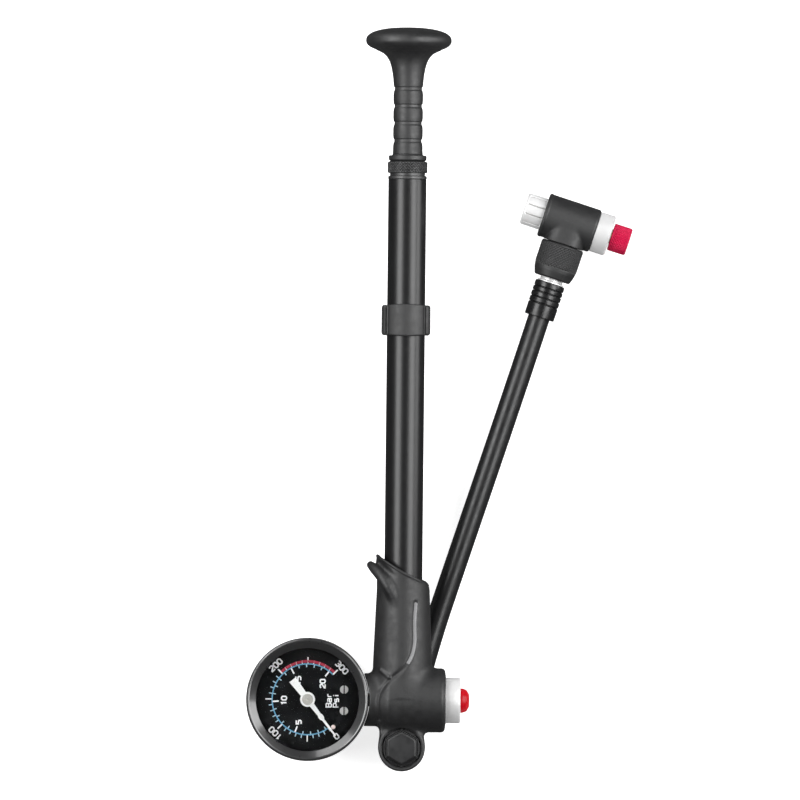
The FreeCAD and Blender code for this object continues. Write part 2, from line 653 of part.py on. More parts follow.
def main():
    os.makedirs("parts", exist_ok=True)
    for make in PIECES:
        shape = place(make())
        good = shape.isValid() and all(solid.isClosed() for solid in shape.Solids) and shape.Solids
        print(make.__name__, "solids", len(shape.Solids), "volume", round(shape.Volume, 1), "" if good else "BAD")
        shape.exportStep(os.path.join("parts", make.__name__ + ".step"))
    print("hose route, metres:", [tuple(round(c / 1000, 5) for c in point + TO_FOOTPRINT) for point in hose_points()])


main()
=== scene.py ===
"""The looks of the shock suspension pump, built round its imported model.

Pieces are drawn in millimetres in local frames and placed in the row frame, which is in metres. PUMP has
the barrel along +Y and the gauge facing +Z. ARM has its origin on the hose's pivot and +Y along the lower
ferrule. HEAD has its origin in the middle of the upper ferrule and +Y up the hose. T_PIECE is HEAD moved to
the middle of the T; in both, +X points away from the nozzle.
"""
import json
import math

import bmesh
import bpy
import numpy as np
from mathutils import Matrix, Vector


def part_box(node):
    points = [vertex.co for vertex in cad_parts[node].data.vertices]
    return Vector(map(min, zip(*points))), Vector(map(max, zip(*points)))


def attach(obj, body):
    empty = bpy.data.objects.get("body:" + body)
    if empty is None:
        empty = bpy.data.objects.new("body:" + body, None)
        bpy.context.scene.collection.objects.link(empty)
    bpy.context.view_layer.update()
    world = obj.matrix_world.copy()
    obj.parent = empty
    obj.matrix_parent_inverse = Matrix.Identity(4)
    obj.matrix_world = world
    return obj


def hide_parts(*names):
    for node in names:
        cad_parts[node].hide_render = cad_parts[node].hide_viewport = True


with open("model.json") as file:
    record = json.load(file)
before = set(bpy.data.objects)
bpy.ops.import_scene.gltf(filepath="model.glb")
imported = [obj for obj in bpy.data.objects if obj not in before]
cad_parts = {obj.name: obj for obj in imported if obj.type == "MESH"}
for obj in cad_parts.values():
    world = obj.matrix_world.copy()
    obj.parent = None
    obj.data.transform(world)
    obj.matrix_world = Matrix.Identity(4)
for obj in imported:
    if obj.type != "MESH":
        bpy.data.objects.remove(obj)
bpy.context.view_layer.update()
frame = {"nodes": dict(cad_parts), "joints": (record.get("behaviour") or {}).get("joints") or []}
JOINTS = {joint["name"]: joint for joint in frame["joints"]}
MM = 0.001
WELD = 2e-7  # metres


def local_frame(origin, right, up):
    """Matrix from millimetres in a local frame to metres in the row frame."""
    toward = right.cross(up)
    turn = Matrix((right, up, toward)).transposed().to_4x4()
    return Matrix.Translation(origin) @ turn @ Matrix.Scale(MM, 4)


def middle(node):
    low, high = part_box(node)
    return (low + high) / 2


def add_object(name, data):
    obj = bpy.data.objects.new(name, data)
    bpy.context.scene.collection.objects.link(obj)
    return obj


# ---- the local frames ----
HOSE_ROUTE = [  # metres in the row frame, from the lower ferrule's mouth to the upper one's
    (0.02032, -0.09577, 0.0074), (0.02405, -0.08124, 0.0074), (0.03178, -0.05746, 0.0074),
    (0.04277, -0.02423, 0.0074), (0.05364, 0.00904, 0.0074), (0.05972, 0.02809, 0.0074)]
HOSE_DIAMETER = 0.00744
HEAD_MIDDLE_S = 27.5  # millimetres from the upper ferrule to the middle of the T
ORIGIN = Vector((middle("barrel").x, middle("gauge_bezel").y, middle("barrel").z))
PUMP = local_frame(ORIGIN, Vector((1, 0, 0)), Vector((0, 1, 0)))
PIVOT = Vector(JOINTS["hose_swing"]["pos_m"])
FERRULE_UP = (Vector(HOSE_ROUTE[0]) - PIVOT).normalized()
ARM = local_frame(PIVOT, FERRULE_UP.cross(Vector((0, 0, 1))), FERRULE_UP)
HEAD_UP = Vector(JOINTS["head_swivel"]["axis"])
HEAD_RIGHT = -Vector(JOINTS["nozzle_turn"]["axis"])
HEAD_MIDDLE = Vector(JOINTS["head_swivel"]["pos_m"])
HEAD = local_frame(HEAD_MIDDLE - HEAD_UP * HEAD_MIDDLE_S * MM, HEAD_RIGHT, HEAD_UP)
T_PIECE = local_frame(HEAD_MIDDLE, HEAD_RIGHT, HEAD_UP)

# ---- driving dimensions, millimetres ----
BARREL_R = 6.4
GAUGE_X = -31.7
BOSS_Y, BOSS_R = -16.0, 7.85
HOSE_DEPTH = (ORIGIN.z - PIVOT.z) / MM
GRIP_GROOVES, GROOVE_R = (187.85, 193.75, 199.5, 205.3), 4.6
KNOB_RIM_Y, KNOB_R, KNOB_RISE, KNOB_DROP = 221.6, 14.4, 4.4, 4.25
KNOB_BULGE = 2.35  # 2 would make the rim a plain ellipse
SHOULDER_X = 15.0  # right end of the cross tube
BACK_Z = -9.3  # back of the base where the hose swings behind it
PRINT_Z = (2.79, 2.83)  # under and upper side of the dial's print
NEEDLE_DEGREES = -52
SCREW_X, SCREW_MIDDLE_Y, SCREW_APART = -19.45, -0.2, 7.2
SCREW_HEAD_R, SCREW_SHANK_R, SLOT_HALF, SLOT_LIP_Z = 1.4, 0.65, 0.22, 3.2
CLIP_LOW_Y, CLIP_HIGH_Y = 122.6, 132.7
CLIP_BAND_R, CLIP_BAND_HALF = 7.9, 5.9
CLIP_SLOT_R, CLIP_SLOT_X = 3.95, -1.6  # the rounded end of the slot that holds the hose
FLUTE_ENDS = -15.5, -9.3


# ---- camera and hose ----
def add_camera():
    """Straight down from far off, turned so that the barrel leans a little."""
    height = 3.6  # metres
    seen_width = 0.2688  # metres across the picture
    sensor = 36.0
    over = (-1.73, 100.8)  # millimetres in the pump's frame
    lean = math.radians(0.6)
    data = bpy.data.cameras.new("camera")
    data.sensor_width = sensor
    data.lens = sensor * height / seen_width
    data.clip_end = 10
    camera = add_object("camera", data)
    camera.location = PUMP @ Vector((*over, height / MM))
    camera.rotation_euler = (0, 0, lean)
    bpy.context.scene.camera = camera


def add_hose():
    """Round-sectioned curve along the route, with closed ends."""
    data = bpy.data.curves.new("hose_curve", "CURVE")
    data.dimensions = "3D"
    data.bevel_depth = HOSE_DIAMETER / 2 / MM  # each point's radius scales it back to metres
    data.bevel_resolution = 16
    data.resolution_u = 24
    data.use_fill_caps = True
    spline = data.splines.new("NURBS")
    spline.points.add(len(HOSE_ROUTE) - 1)
    for point, place in zip(spline.points, HOSE_ROUTE):
        point.co = (*place, 1)
        point.radius = MM
    spline.order_u = 3
    spline.use_endpoint_u = True
    return fit(add_object("rubber_hose", data), "hose_arm", "hose", "hose")


# ---- fitting pieces to the frame ----
def fit(obj, body, slot, *nodes, material=None):
    """Ride on a body, stand for its CAD nodes and take a finish: its own, or else the slot's."""
    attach(obj, body)
    if nodes:
        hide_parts(*nodes)
    obj.data.materials.clear()
    obj.data.materials.append(material or FINISHES[slot])
    return obj


def paint_faces(piece, place, material, chosen):
    """Second finish for the faces whose middles, in a local frame's millimetres, are chosen."""
    piece.data.materials.append(material)
    back = place.inverted()
    for face in piece.data.polygons:
        if chosen(back @ face.center):
            face.material_index = 1


def turn_outward(mesh, weld=False):
    """Turn every face outward; weld first joins the points that coincide."""
    work = bmesh.new()
    work.from_mesh(mesh)
    if weld:
        bmesh.ops.remove_doubles(work, verts=work.verts, dist=WELD)
    bmesh.ops.recalc_face_normals(work, faces=work.faces)
    work.to_mesh(mesh)
    work.free()


def mesh_piece(name, points, faces, place, sharp_degrees=32, merge=True):
    """Object from points in a local frame's millimetres, smooth apart from its sharp edges."""
    mesh = bpy.data.meshes.new(name)
    mesh.from_pydata([tuple(point) for point in points], [], [tuple(face) for face in faces])
    mesh.transform(place)
    if merge:
        turn_outward(mesh, weld=True)
    mesh.polygons.foreach_set("use_smooth", [True] * len(mesh.polygons))
    mesh.set_sharp_from_angle(angle=math.radians(sharp_degrees))
    return add_object(name, mesh)


def ring_faces(rings, around, closed=False):
    """Four-sided faces between rings of points; closed joins the last ring to the first."""
    faces = []
    for ring in range(rings if closed else rings - 1):
        here, there = ring * around, (ring + 1) % rings * around
        for step in range(around):
            beyond = (step + 1) % around
            faces.append((here + step, here + beyond, there + beyond, there + step))
    return faces


def end_caps(rings, around):
    last = (rings - 1) * around
    return [tuple(range(around)), tuple(range(last, last + around))]


def add_bevel(obj, width_mm, segments=3):
    bevel = obj.modifiers.new("bevel", "BEVEL")
    bevel.width = width_mm * MM
    bevel.segments = segments
    bevel.limit_method = "ANGLE"
    bevel.angle_limit = math.radians(30)
    bevel.harden_normals = False


# ---- turned pieces ----
def with_fillets(corners, steps):
    """Outline from (station, radius, fillet) corners; a fillet of 0 or none keeps the corner sharp."""
    outline = []
    for number, corner in enumerate(corners):
        here = Vector(corner[:2])
        fillet = corner[2] if len(corner) > 2 else 0
        if not fillet or number in (0, len(corners) - 1):
            outline.append(here)
            continue
        back = Vector(corners[number - 1][:2]) - here
        on = Vector(corners[number + 1][:2]) - here
        half = back.angle(on) / 2
        setback = min(fillet / math.tan(half), 0.49 * back.length, 0.49 * on.length)
        first = here + back.normalized() * setback
        last = here + on.normalized() * setback
        for step in range(steps + 1):
            t = step / steps
            outline.append(first * (1 - t) ** 2 + here * 2 * t * (1 - t) + last * t ** 2)
    return outline


def cut_fine(outline, spacing, low, high, least_radius):
    """The outline with points no further apart than spacing where it lies in the knurled band."""
    fine = [outline[0]]
    for before, after in zip(outline, outline[1:]):
        inside = max(before.x, after.x) > low and min(before.x, after.x) < high
        cut = inside and max(before.y, after.y) > least_radius
        pieces = max(1, math.ceil((after - before).length / spacing)) if cut else 1
        fine += [before.lerp(after, (step + 1) / pieces) for step in range(pieces)]
    return fine


def turned(name, corners, place, axis, centre=(0, 0, 0), around=160, relief=None, fine=None, steps=5):
    """Body of revolution; relief(station, angle) is added to the radius.

    fine is (spacing, low station, high station, least radius) of the band that is cut fine for the relief.
    """
    outline = with_fillets(corners, steps)
    closed = outline[0].y > 1e-6 or outline[-1].y > 1e-6  # it doesn't start and end on the axis
    if fine:
        outline = cut_fine(outline + outline[:1] if closed else outline, *fine)
        outline = outline[:-1] if closed else outline
    station = np.array([point.x for point in outline])[:, None]
    radius = np.array([point.y for point in outline])[:, None]
    angle = np.arange(around)[None, :] * 2 * math.pi / around
    if relief:
        radius = radius + relief(station, angle) * (radius > fine[3])
    across, upward = radius * np.cos(angle), radius * np.sin(angle)
    along = station + 0 * angle
    order = {"X": (along, across, upward), "Y": (upward, along, across), "Z": (across, upward, along)}[axis]
    points = np.stack(order, -1).reshape(-1, 3) + np.array(centre)
    return mesh_piece(name, points, ring_faces(len(outline), around, closed), place)


def valley(turns, width=0.5):
    """1 at the bottom of a V groove at each whole turn, 0 on the land between grooves."""
    from_land = np.abs(turns % 1 - 0.5) * 2
    return np.clip((from_land - (1 - width)) / width, 0, 1)


def window(station, low, high, soft=0.25):
    """1 between two stations, falling to 0 at each over a soft length."""
    return np.clip((station - low) / soft, 0, 1) * np.clip((high - station) / soft, 0, 1)


def diamond_knurl(radius, pitch, depth, low, high):
    """Two sets of crossing grooves at 45 degrees, between two stations."""
    count = round(2 * math.pi * radius / pitch)

    def relief(station, angle):
        turn = angle * count / (2 * math.pi)
        slide = station * count / (2 * math.pi * radius)
        return -depth * np.maximum(valley(turn + slide), valley(turn - slide)) * window(station, low, high)
    return relief


def straight_knurl(count, depth, low, high, width):
    """Straight grooves; width is the share of the pitch that a groove takes."""
    def relief(station, angle):
        return -depth * valley(angle * count / (2 * math.pi), width) * window(station, low, high)
    return relief


# ---- cast and moulded pieces, from distance fields ----
def smooth_min(a, b, blend):
    """The nearer of two fields, with a rounded corner where they meet."""
    share = np.clip(0.5 + 0.5 * (b - a) / blend, 0, 1)
    return b + (a - b) * share - blend * share * (1 - share)


def smooth_max(a, b, blend):
    return -smooth_min(-a, -b, blend)


def chain_field(x, y, z, beads):
    """Distance to a chain of (x, y, z, radius) beads joined by tapered rods."""
    nearest = np.full(np.shape(x), 1e3)
    for start, end in zip(beads, beads[1:]):
        line = np.subtract(end[:3], start[:3])
        share = (x - start[0]) * line[0] + (y - start[1]) * line[1] + (z - start[2]) * line[2]
        share = np.clip(share / line.dot(line), 0, 1)
        gap = np.sqrt((x - start[0] - share * line[0]) ** 2 + (y - start[1] - share * line[1]) ** 2
                      + (z - start[2] - share * line[2]) ** 2)
        nearest = np.minimum(nearest, gap - start[3] - share * (end[3] - start[3]))
    return nearest


def box_field(x, y, z, low, high, rounding):
    """Distance to a box whose edges have a radius."""
    centre, half = np.add(low, high) / 2, np.subtract(high, low) / 2 - rounding
    out = [np.abs(value - centre[n]) - half[n] for n, value in enumerate((x, y, z))]
    outside = np.sqrt(sum(np.maximum(value, 0) ** 2 for value in out))
    return outside + np.minimum(np.maximum(np.maximum(out[0], out[1]), out[2]), 0) - rounding


def surface_of(field, low, high, step):
    """Points and four-sided faces of a field's zero surface: one point for each cell that it crosses.

    The points are then moved along the field's slope, which puts them on the surface itself.
    """
    probe, rounds, least_slope, most_move = 0.04, 3, 0.3, 0.4 * step
    axes = [np.arange(start, end + step, step) for start, end in zip(low, high)]
    value = field(*np.meshgrid(*axes, indexing="ij"))
    cells = np.array(value.shape) - 1
    units = np.eye(3, dtype=int)
    total = np.zeros((cells.prod(), 3))
    count = np.zeros(cells.prod())
    quads = []
    for axis in range(3):
        one, two = units[(axis + 1) % 3], units[(axis + 2) % 3]
        ahead = np.roll(value, -1, axis)
        crossed = (value < 0) != (ahead < 0)
        crossed[tuple(slice(-1, None) if n == axis else slice(None) for n in range(3))] = False
        at = np.argwhere(crossed)
        before, after = value[tuple(at.T)], ahead[tuple(at.T)]
        place = at + units[axis] * (before / (before - after))[:, None]
        corners = [np.ravel_multi_index((at - shift).T, cells) for shift in (one + two, two, 0 * one, one)]
        for corner in corners:
            np.add.at(total, corner, place)
            np.add.at(count, corner, 1)
        quad = np.stack(corners, -1)
        inward = before > 0
        quad[inward] = quad[inward][:, ::-1]
        quads.append(quad)
    used = np.flatnonzero(count)
    renumber = np.full(cells.prod(), -1)
    renumber[used] = np.arange(len(used))
    points = np.array(low) + step * total[used] / count[used][:, None]
    for _ in range(rounds):
        here = field(*points.T)
        slope = np.stack([field(*(points + probe * unit).T) - field(*(points - probe * unit).T)
                          for unit in units], -1) / (2 * probe)
        move = here / np.maximum((slope ** 2).sum(-1), least_slope)
        points -= slope * np.clip(move, -most_move, most_move)[:, None]
    return points, renumber[np.concatenate(quads)]


def field_piece(name, field, low, high, step, place, sharp_degrees=50):
    points, faces = surface_of(field, low, high, step)
    return mesh_piece(name, points, faces.tolist(), place, sharp_degrees, merge=False)


# ---- materials ----
TONE_MM, UNEVEN_MM = 6.0, 2.5  # sizes of the drift in tone and in roughness
COAT_ROUGHNESS = 0.12


def add_node(tree, kind, **inputs):
    """Shader node with constants on its inputs, whose names are written with underscores."""
    node = tree.nodes.new(kind)
    for name, value in inputs.items():
        node.inputs[name.replace("_", " ")].default_value = value
    return node


def noise(tree, place, size_mm, detail, stretch=None):
    """Noise whose features are about size_mm across; stretch squeezes it along each axis."""
    source = place
    if stretch:
        mapping = add_node(tree, "ShaderNodeMapping")
        mapping.inputs["Scale"].default_value = stretch
        tree.links.new(place, mapping.inputs["Vector"])
        source = mapping.outputs["Vector"]
    node = add_node(tree, "ShaderNodeTexNoise", Scale=1 / (size_mm * MM), Detail=detail)
    tree.links.new(source, node.inputs["Vector"])
    return node.outputs["Fac"]


def finish(name, colour, roughness, metallic=0.0, grain_mm=0.2, depth_mm=0.004, tone=0.12,
           rough_range=0.06, coat=0.0, specular=0.5, edge_wear_and_highlight=0.0, stretch=None, clear=False):
    """Procedural finish: tone drift, uneven roughness, a grain of a size and depth and, on edges, a lighter
    colour that is partly wear and partly painted highlight.
    """
    material = bpy.data.materials.new(name)
    material.use_nodes = True
    tree = material.node_tree
    shader = tree.nodes["Principled BSDF"]
    shader.inputs["Metallic"].default_value = metallic
    shader.inputs["Coat Weight"].default_value = coat
    shader.inputs["Coat Roughness"].default_value = COAT_ROUGHNESS
    shader.inputs["Specular IOR Level"].default_value = specular
    place = tree.nodes.new("ShaderNodeTexCoord").outputs["Object"]
    ramp = tree.nodes.new("ShaderNodeValToRGB")
    ramp.color_ramp.elements[0].position = 0.3
    ramp.color_ramp.elements[1].position = 0.7
    ramp.color_ramp.elements[0].color = (*[value * (1 - tone) for value in colour], 1)
    ramp.color_ramp.elements[1].color = (*[min(1, value * (1 + tone)) for value in colour], 1)
    tree.links.new(noise(tree, place, TONE_MM, 5.0), ramp.inputs["Fac"])
    shade = ramp.outputs["Color"]
    # Convex edges get a lighter colour: partly wear, partly painted highlight.
    if edge_wear_and_highlight:
        geometry = tree.nodes.new("ShaderNodeNewGeometry")
        wear_and_highlight = add_node(tree, "ShaderNodeMapRange", From_Min=0.52, From_Max=0.60, To_Min=0.0, To_Max=edge_wear_and_highlight)
        tree.links.new(geometry.outputs["Pointiness"], wear_and_highlight.inputs["Value"])
        mix = tree.nodes.new("ShaderNodeMix")
        mix.data_type = "RGBA"
        mix.inputs["B"].default_value = (*[min(1, value * 2.2 + 0.02) for value in colour], 1)
        tree.links.new(wear_and_highlight.outputs["Result"], mix.inputs["Factor"])
        tree.links.new(shade, mix.inputs["A"])
        shade = mix.outputs["Result"]
    tree.links.new(shade, shader.inputs["Base Color"])
    uneven = add_node(tree, "ShaderNodeMapRange", From_Min=0.35, From_Max=0.65,
                      To_Min=max(0.02, roughness - rough_range), To_Max=roughness + rough_range)
    tree.links.new(noise(tree, place, UNEVEN_MM, 4.0, stretch), uneven.inputs["Value"])
    tree.links.new(uneven.outputs["Result"], shader.inputs["Roughness"])
    bump = add_node(tree, "ShaderNodeBump", Strength=0.6, Distance=depth_mm * MM)
    tree.links.new(noise(tree, place, grain_mm, 2.0, stretch), bump.inputs["Height"])
    tree.links.new(bump.outputs["Normal"], shader.inputs["Normal"])
    if clear:
        shader.inputs["Transmission Weight"].default_value = 1.0
        shader.inputs["IOR"].default_value = 1.2
    return material


BLACK = (0.011, 0.0112, 0.0119)
SATIN = (0.0085, 0.0087, 0.0092)
FINISHES = {
    "handle": finish("black anodised grip", SATIN, 0.52, edge_wear_and_highlight=0.2, specular=0.8),
    "steel": finish("ground steel", (0.62, 0.62, 0.61), 0.28, 1.0, 0.15, 0.002, 0.05, stretch=(6, 1, 6)),
    "inner_plastic": finish("acetal", (0.6, 0.6, 0.57), 0.5, grain_mm=0.4),
    "seal": finish("nitrile rubber", (0.018, 0.018, 0.018), 0.62, grain_mm=0.12, depth_mm=0.01),
    "barrel": finish("gloss black anodised tube", (0.0045, 0.0046, 0.005), 0.33, grain_mm=0.6,
                     depth_mm=0.0006, rough_range=0.015, specular=0.58),
    "gland": finish("black gland metal", BLACK, 0.45, edge_wear_and_highlight=0.8, specular=1.0),
    "body": finish("satin cast black", SATIN, 0.54, grain_mm=0.22, depth_mm=0.006, edge_wear_and_highlight=0.2, specular=0.72),
    "plug": finish("black plug", BLACK, 0.44, edge_wear_and_highlight=0.35, specular=0.6),
    "brass": finish("turned brass", (0.72, 0.52, 0.23), 0.27, 1.0, 0.1, 0.002, 0.06),
    "gauge_case": finish("black gauge case", BLACK, 0.42, grain_mm=0.25, edge_wear_and_highlight=0.2),
    "bezel": finish("black bezel", (0.020, 0.0203, 0.021), 0.30, grain_mm=0.3, depth_mm=0.001,
                    rough_range=0.03, coat=0.95, specular=1.0),
    "lens": finish("clear lens", (0.97, 0.98, 0.98), 0.03, grain_mm=4.0, depth_mm=0.001, tone=0.01,
                   rough_range=0.01, clear=True),
    "dial": finish("printed dial ground", (0.0030, 0.0034, 0.0042), 0.55, specular=0.15),
    "chrome": finish("satin chrome", (0.95, 0.95, 0.95), 0.34, 0.45, 0.25, 0.0015, 0.02, rough_range=0.05),
    "needle": finish("white enamel", (0.97, 0.97, 0.96), 0.4, depth_mm=0.002, tone=0.02),
    "needle_cap": finish("beige hub", (0.47, 0.455, 0.42), 0.42, depth_mm=0.003),
    "red_plastic": finish("red button", (0.50, 0.003, 0.0105), 0.30, grain_mm=0.25, depth_mm=0.002,
                          specular=0.25),
    "red_metal": finish("red anodised knob", (0.52, 0.0045, 0.056), 0.40, 0.25, 0.15, 0.004, 0.1,
                        specular=0.3),
    "clip": finish("black nylon clip", SATIN, 0.60, grain_mm=0.18, depth_mm=0.008, edge_wear_and_highlight=0.2, specular=0.85),
    "banjo": finish("black banjo", BLACK, 0.4, edge_wear_and_highlight=0.3),
    "ferrule": finish("gloss black ferrule", (0.005, 0.0051, 0.0055), 0.30, depth_mm=0.002, specular=0.6),
    "hose": finish("hose rubber", (0.007, 0.0072, 0.0078), 0.36, grain_mm=0.35, depth_mm=0.005,
                   rough_range=0.05, specular=0.58),
    "head": finish("satin black head", SATIN, 0.55, depth_mm=0.005, edge_wear_and_highlight=0.2, specular=0.78),
    "silver": finish("satin silver", (0.65, 0.65, 0.65), 0.45, 0.3, 0.2, 0.003, 0.02),
}
# Lighter grey for the grip's channel floors: a painted highlight.
CHANNEL_PAINTED_HIGHLIGHT = finish("grip channel painted highlight", (0.022, 0.022, 0.0225), 0.5, specular=0.78)
# Light grey for the upper S groove: a painted highlight.
S_LINE_PAINTED_HIGHLIGHT = finish("S line painted highlight", (0.215, 0.215, 0.22), 0.42, depth_mm=0.003)
# Zinc grey of the dial screws, also laid in the nozzle's flutes as painted shade.
ZINC_AND_FLUTE_SHADE = finish("zinc screws and painted flute shade", (0.58, 0.58, 0.57), 0.38, 0.6, 0.12, 0.002, 0.08)
PIN_PALE = finish("pale stop pin", (0.90, 0.72, 0.68), 0.45, depth_mm=0.002)
PRINT_WHITE, PRINT_PALE, PRINT_BLUE, PRINT_RED = [
    finish(name + " print", colour, 0.55, grain_mm=0.1, depth_mm=0.002, tone=tone)
    for name, colour, tone in (("white", (0.92, 0.93, 0.94), 0.05), ("pale blue", (0.42, 0.60, 0.70), 0.06),
                               ("blue", (0.12, 0.36, 0.55), 0.08), ("red", (0.46, 0.035, 0.07), 0.08))]


# ---- handle, barrel and gland ----
NECK_CURVE = ((206.6, 4.98), (210.0, 5.25), (214.3, 6.15), (216.8, 7.8), (217.75, 9.5), (218.2, 10.6))


def on_channel_floor(centre):
    off_groove = min(abs(centre.y - groove) for groove in GRIP_GROOVES)
    return off_groove < 0.6 and math.hypot(centre.x, centre.z) < GROOVE_R + 0.02


def handle_grip():
    """Grip of crowned bands with flat-floored channels between them, a flowing neck and a rounded knob."""
    corners = [(183.4, 0), (183.4, 5.1, 0.15), (184.6, 5.0, 0.8)]
    for groove in GRIP_GROOVES:
        corners += [(groove - 1.9, 5.0, 0.9), (groove - 0.85, 4.88, 0.1), (groove - 0.3, GROOVE_R, 0.05),
                    (groove + 0.5, GROOVE_R, 0.05), (groove + 0.75, 4.88, 0.1), (groove + 1.9, 5.0, 0.9)]
    corners += [tuple(point) for point in smooth_path(NECK_CURVE)]
    steps = 48
    start = -math.acos((NECK_CURVE[-1][1] / KNOB_R) ** (KNOB_BULGE / 2))
    for step in range(1, steps):
        turn = start + (math.pi / 2 - start) * step / steps
        height = math.copysign(abs(math.sin(turn)) ** (2 / KNOB_BULGE), turn)
        height *= KNOB_DROP if turn < 0 else KNOB_RISE
        corners.append((KNOB_RIM_Y + height, KNOB_R * math.cos(turn) ** (2 / KNOB_BULGE)))
    corners.append((KNOB_RIM_Y + KNOB_RISE, 0))
    piece = turned("grip_knob", corners, PUMP, "Y", around=192)
    fit(piece, "plunger", "handle", "handle_grip")
    paint_faces(piece, PUMP, CHANNEL_PAINTED_HIGHLIGHT, on_channel_floor)  # painted highlight: channel floors lighter


def handle_ferrule():
    corners = [(181.05, 3.1), (181.05, 5.75), (181.5, 6.35, 0.15), (183.0, 6.4, 0.45), (183.0, 5.3, 0.1),
               (183.35, 5.1), (183.35, 3.1)]
    fit(turned("grip_flange", corners, PUMP, "Y"), "plunger", "handle", "handle_ferrule")


def barrel():
    corners = [(14.0, 5.3), (14.0, BARREL_R, 0.2), (175.0, BARREL_R, 0.2), (175.0, 5.3)]
    fit(turned("barrel_tube", corners, PUMP, "Y", around=256), "pump", "barrel", "barrel")


def gland_cap():
    corners = [(165.0, 4.0), (165.0, 5.26), (175.02, 5.26), (175.02, 6.5, 0.2), (176.0, 6.5, 0.3),
               (176.15, 5.9), (177.0, 5.9), (177.15, 6.7, 0.3), (180.65, 6.7, 0.2), (181.0, 6.0),
               (181.0, 4.6), (178.5, 4.6), (178.5, 3.3), (172.0, 3.3), (172.0, 4.0)]
    relief = diamond_knurl(6.7, 1.0, 0.35, 177.3, 180.7)
    fine = (0.1, 177.2, 180.8, 6)
    cap = turned("gland_knurled", corners, PUMP, "Y", around=400, relief=relief, fine=fine)
    fit(cap, "pump", "gland", "gland_cap")


# ---- base ----
S_LINE = ((4.2, 33.0), (3.9, 29.0), (3.8, 25.0), (4.0, 20.5), (3.7, 17.5), (2.9, 14.6), (1.7, 12.3),
          (-0.6, 9.8), (-3.6, 7.5), (-5.6, 5.4), (-7.4, 2.8), (-8.2, 0.0), (-8.0, -3.0), (-7.6, -6.2))
S_HIGHLIGHT_POINTS = 7
SOCKET_BORE_R, GAUGE_BORE_R, RECESS_R, BOLT_BORE_R = 6.5, 20.75, 6.75, 3.04
SLEEVE_BORE_R, STEM_BORE_R, SEAT_R = 5.65, 4.05, 7.72


def distance_to_path(x, y, path):
    nearest = np.full(np.shape(x), 1e3)
    for (ax, ay), (bx, by) in zip(path, path[1:]):
        along_x, along_y = bx - ax, by - ay
        share = np.clip(((x - ax) * along_x + (y - ay) * along_y) / (along_x ** 2 + along_y ** 2), 0, 1)
        nearest = np.minimum(nearest, np.hypot(x - ax - share * along_x, y - ay - share * along_y))
    return nearest


def smooth_path(corners, rounds=3):
    """Corner-cutting, which rounds a path while its ends stay put."""
    path = [Vector(corner) for corner in corners]
    for _ in range(rounds):
        cut = [path[0]]
        for here, there in zip(path, path[1:]):
            cut += [here.lerp(there, 0.25), here.lerp(there, 0.75)]
        path = cut + [path[-1]]
    return path


S_PATH = [tuple(point) for point in smooth_path(S_LINE)]
# height of the socket's slanted mouth, for each x
MOUTH_X, MOUTH_Y = np.array(((-20, 54.6), (-8.6, 48.6), (-6.5, 47.3), (0, 43.3), (5, 41.0), (7, 40.2),
                             (8.2, 39.7), (10, 38.4))).T
# radius of the socket, for each height
SOCKET_Y, SOCKET_R = np.array(((4, 9.9), (12, 9.9), (20, 9.6), (30, 9.2), (37, 8.9), (50, 8.9))).T
# chains of (x, y, z, radius) beads
FRONT_LIP = ((-11.0, 45.3, 1.0, 1.3), (-9.6, 44.0, 3.4, 1.75), (-7.5, 42.0, 5.9, 2.0),
             (-5.4, 39.0, 7.4, 2.0), (-3.7, 35.8, 7.7, 1.6), (-2.4, 32.6, 7.4, 0.9))
REAR_HORN = ((-8.5, 48.3, -0.6, 0.4), (-8.2, 46.5, -0.2, 0.9), (-8.0, 44.0, 0, 1.2))
MOUTH_CHANNEL = ((-8.2, 46.0, 4.2, 0.7), (-6.3, 44.2, 7.0, 0.75), (-4.4, 42.6, 8.6, 0.7),
                 (-2.6, 41.4, 9.5, 0.5))
CREASE = ((-7.2, 10.2, 6.7, 0.5), (-3.9, 7.5, 9.0, 0.65))


def base_surface(x, y, z):
    """Outside of the casting, without its bores."""
    mouth = np.interp(x, MOUTH_X, MOUTH_Y)
    rim = np.clip((y - mouth + 1.0) / 0.25, 0, 1)
    socket = np.hypot(x, z) - np.interp(y, SOCKET_Y, SOCKET_R) - 0.25 * rim
    socket = np.maximum(socket, 2 - y)
    socket = smooth_max(socket, (y - mouth) * 0.86, 0.5 + 1.6 * np.clip((x - 5) / 3, 0, 1))
    socket = smooth_min(socket, chain_field(x, y, z, smooth_path(FRONT_LIP, 1)), 1.3)
    socket = smooth_min(socket, chain_field(x, y, z, REAR_HORN), 0.9)
    socket = smooth_max(socket, -chain_field(x, y, z, smooth_path(MOUTH_CHANNEL, 1)), 0.9)
    share = np.clip((x + 8.5) / 4.5, 0, 1)
    radius = 8.9 + 1.9 * share * share * (3 - 2 * share)
    tube = smooth_max(np.hypot(y, z) - radius, x - SHOULDER_X - 0.2 + 0.008 * (y ** 2 + z ** 2), 1.3)
    boss = smooth_max(np.hypot(x, y - BOSS_Y) - BOSS_R, z - 5.6, 0.9)
    waist = smooth_max(np.abs(x) - 7.5, z - 5.0, 1.2)
    waist = np.maximum(np.maximum(waist, y + 5), BOSS_Y - y)
    body = smooth_min(smooth_min(tube, smooth_min(boss, waist, 0.8), 1.8), socket, 2.2)
    body = smooth_min(body, chain_field(x, y, z, CREASE), 0.7)
    groove = np.exp(-(distance_to_path(x, y, S_PATH) / 0.6) ** 2) * np.clip(z / 2, 0, 1)
    return body + 0.45 * groove


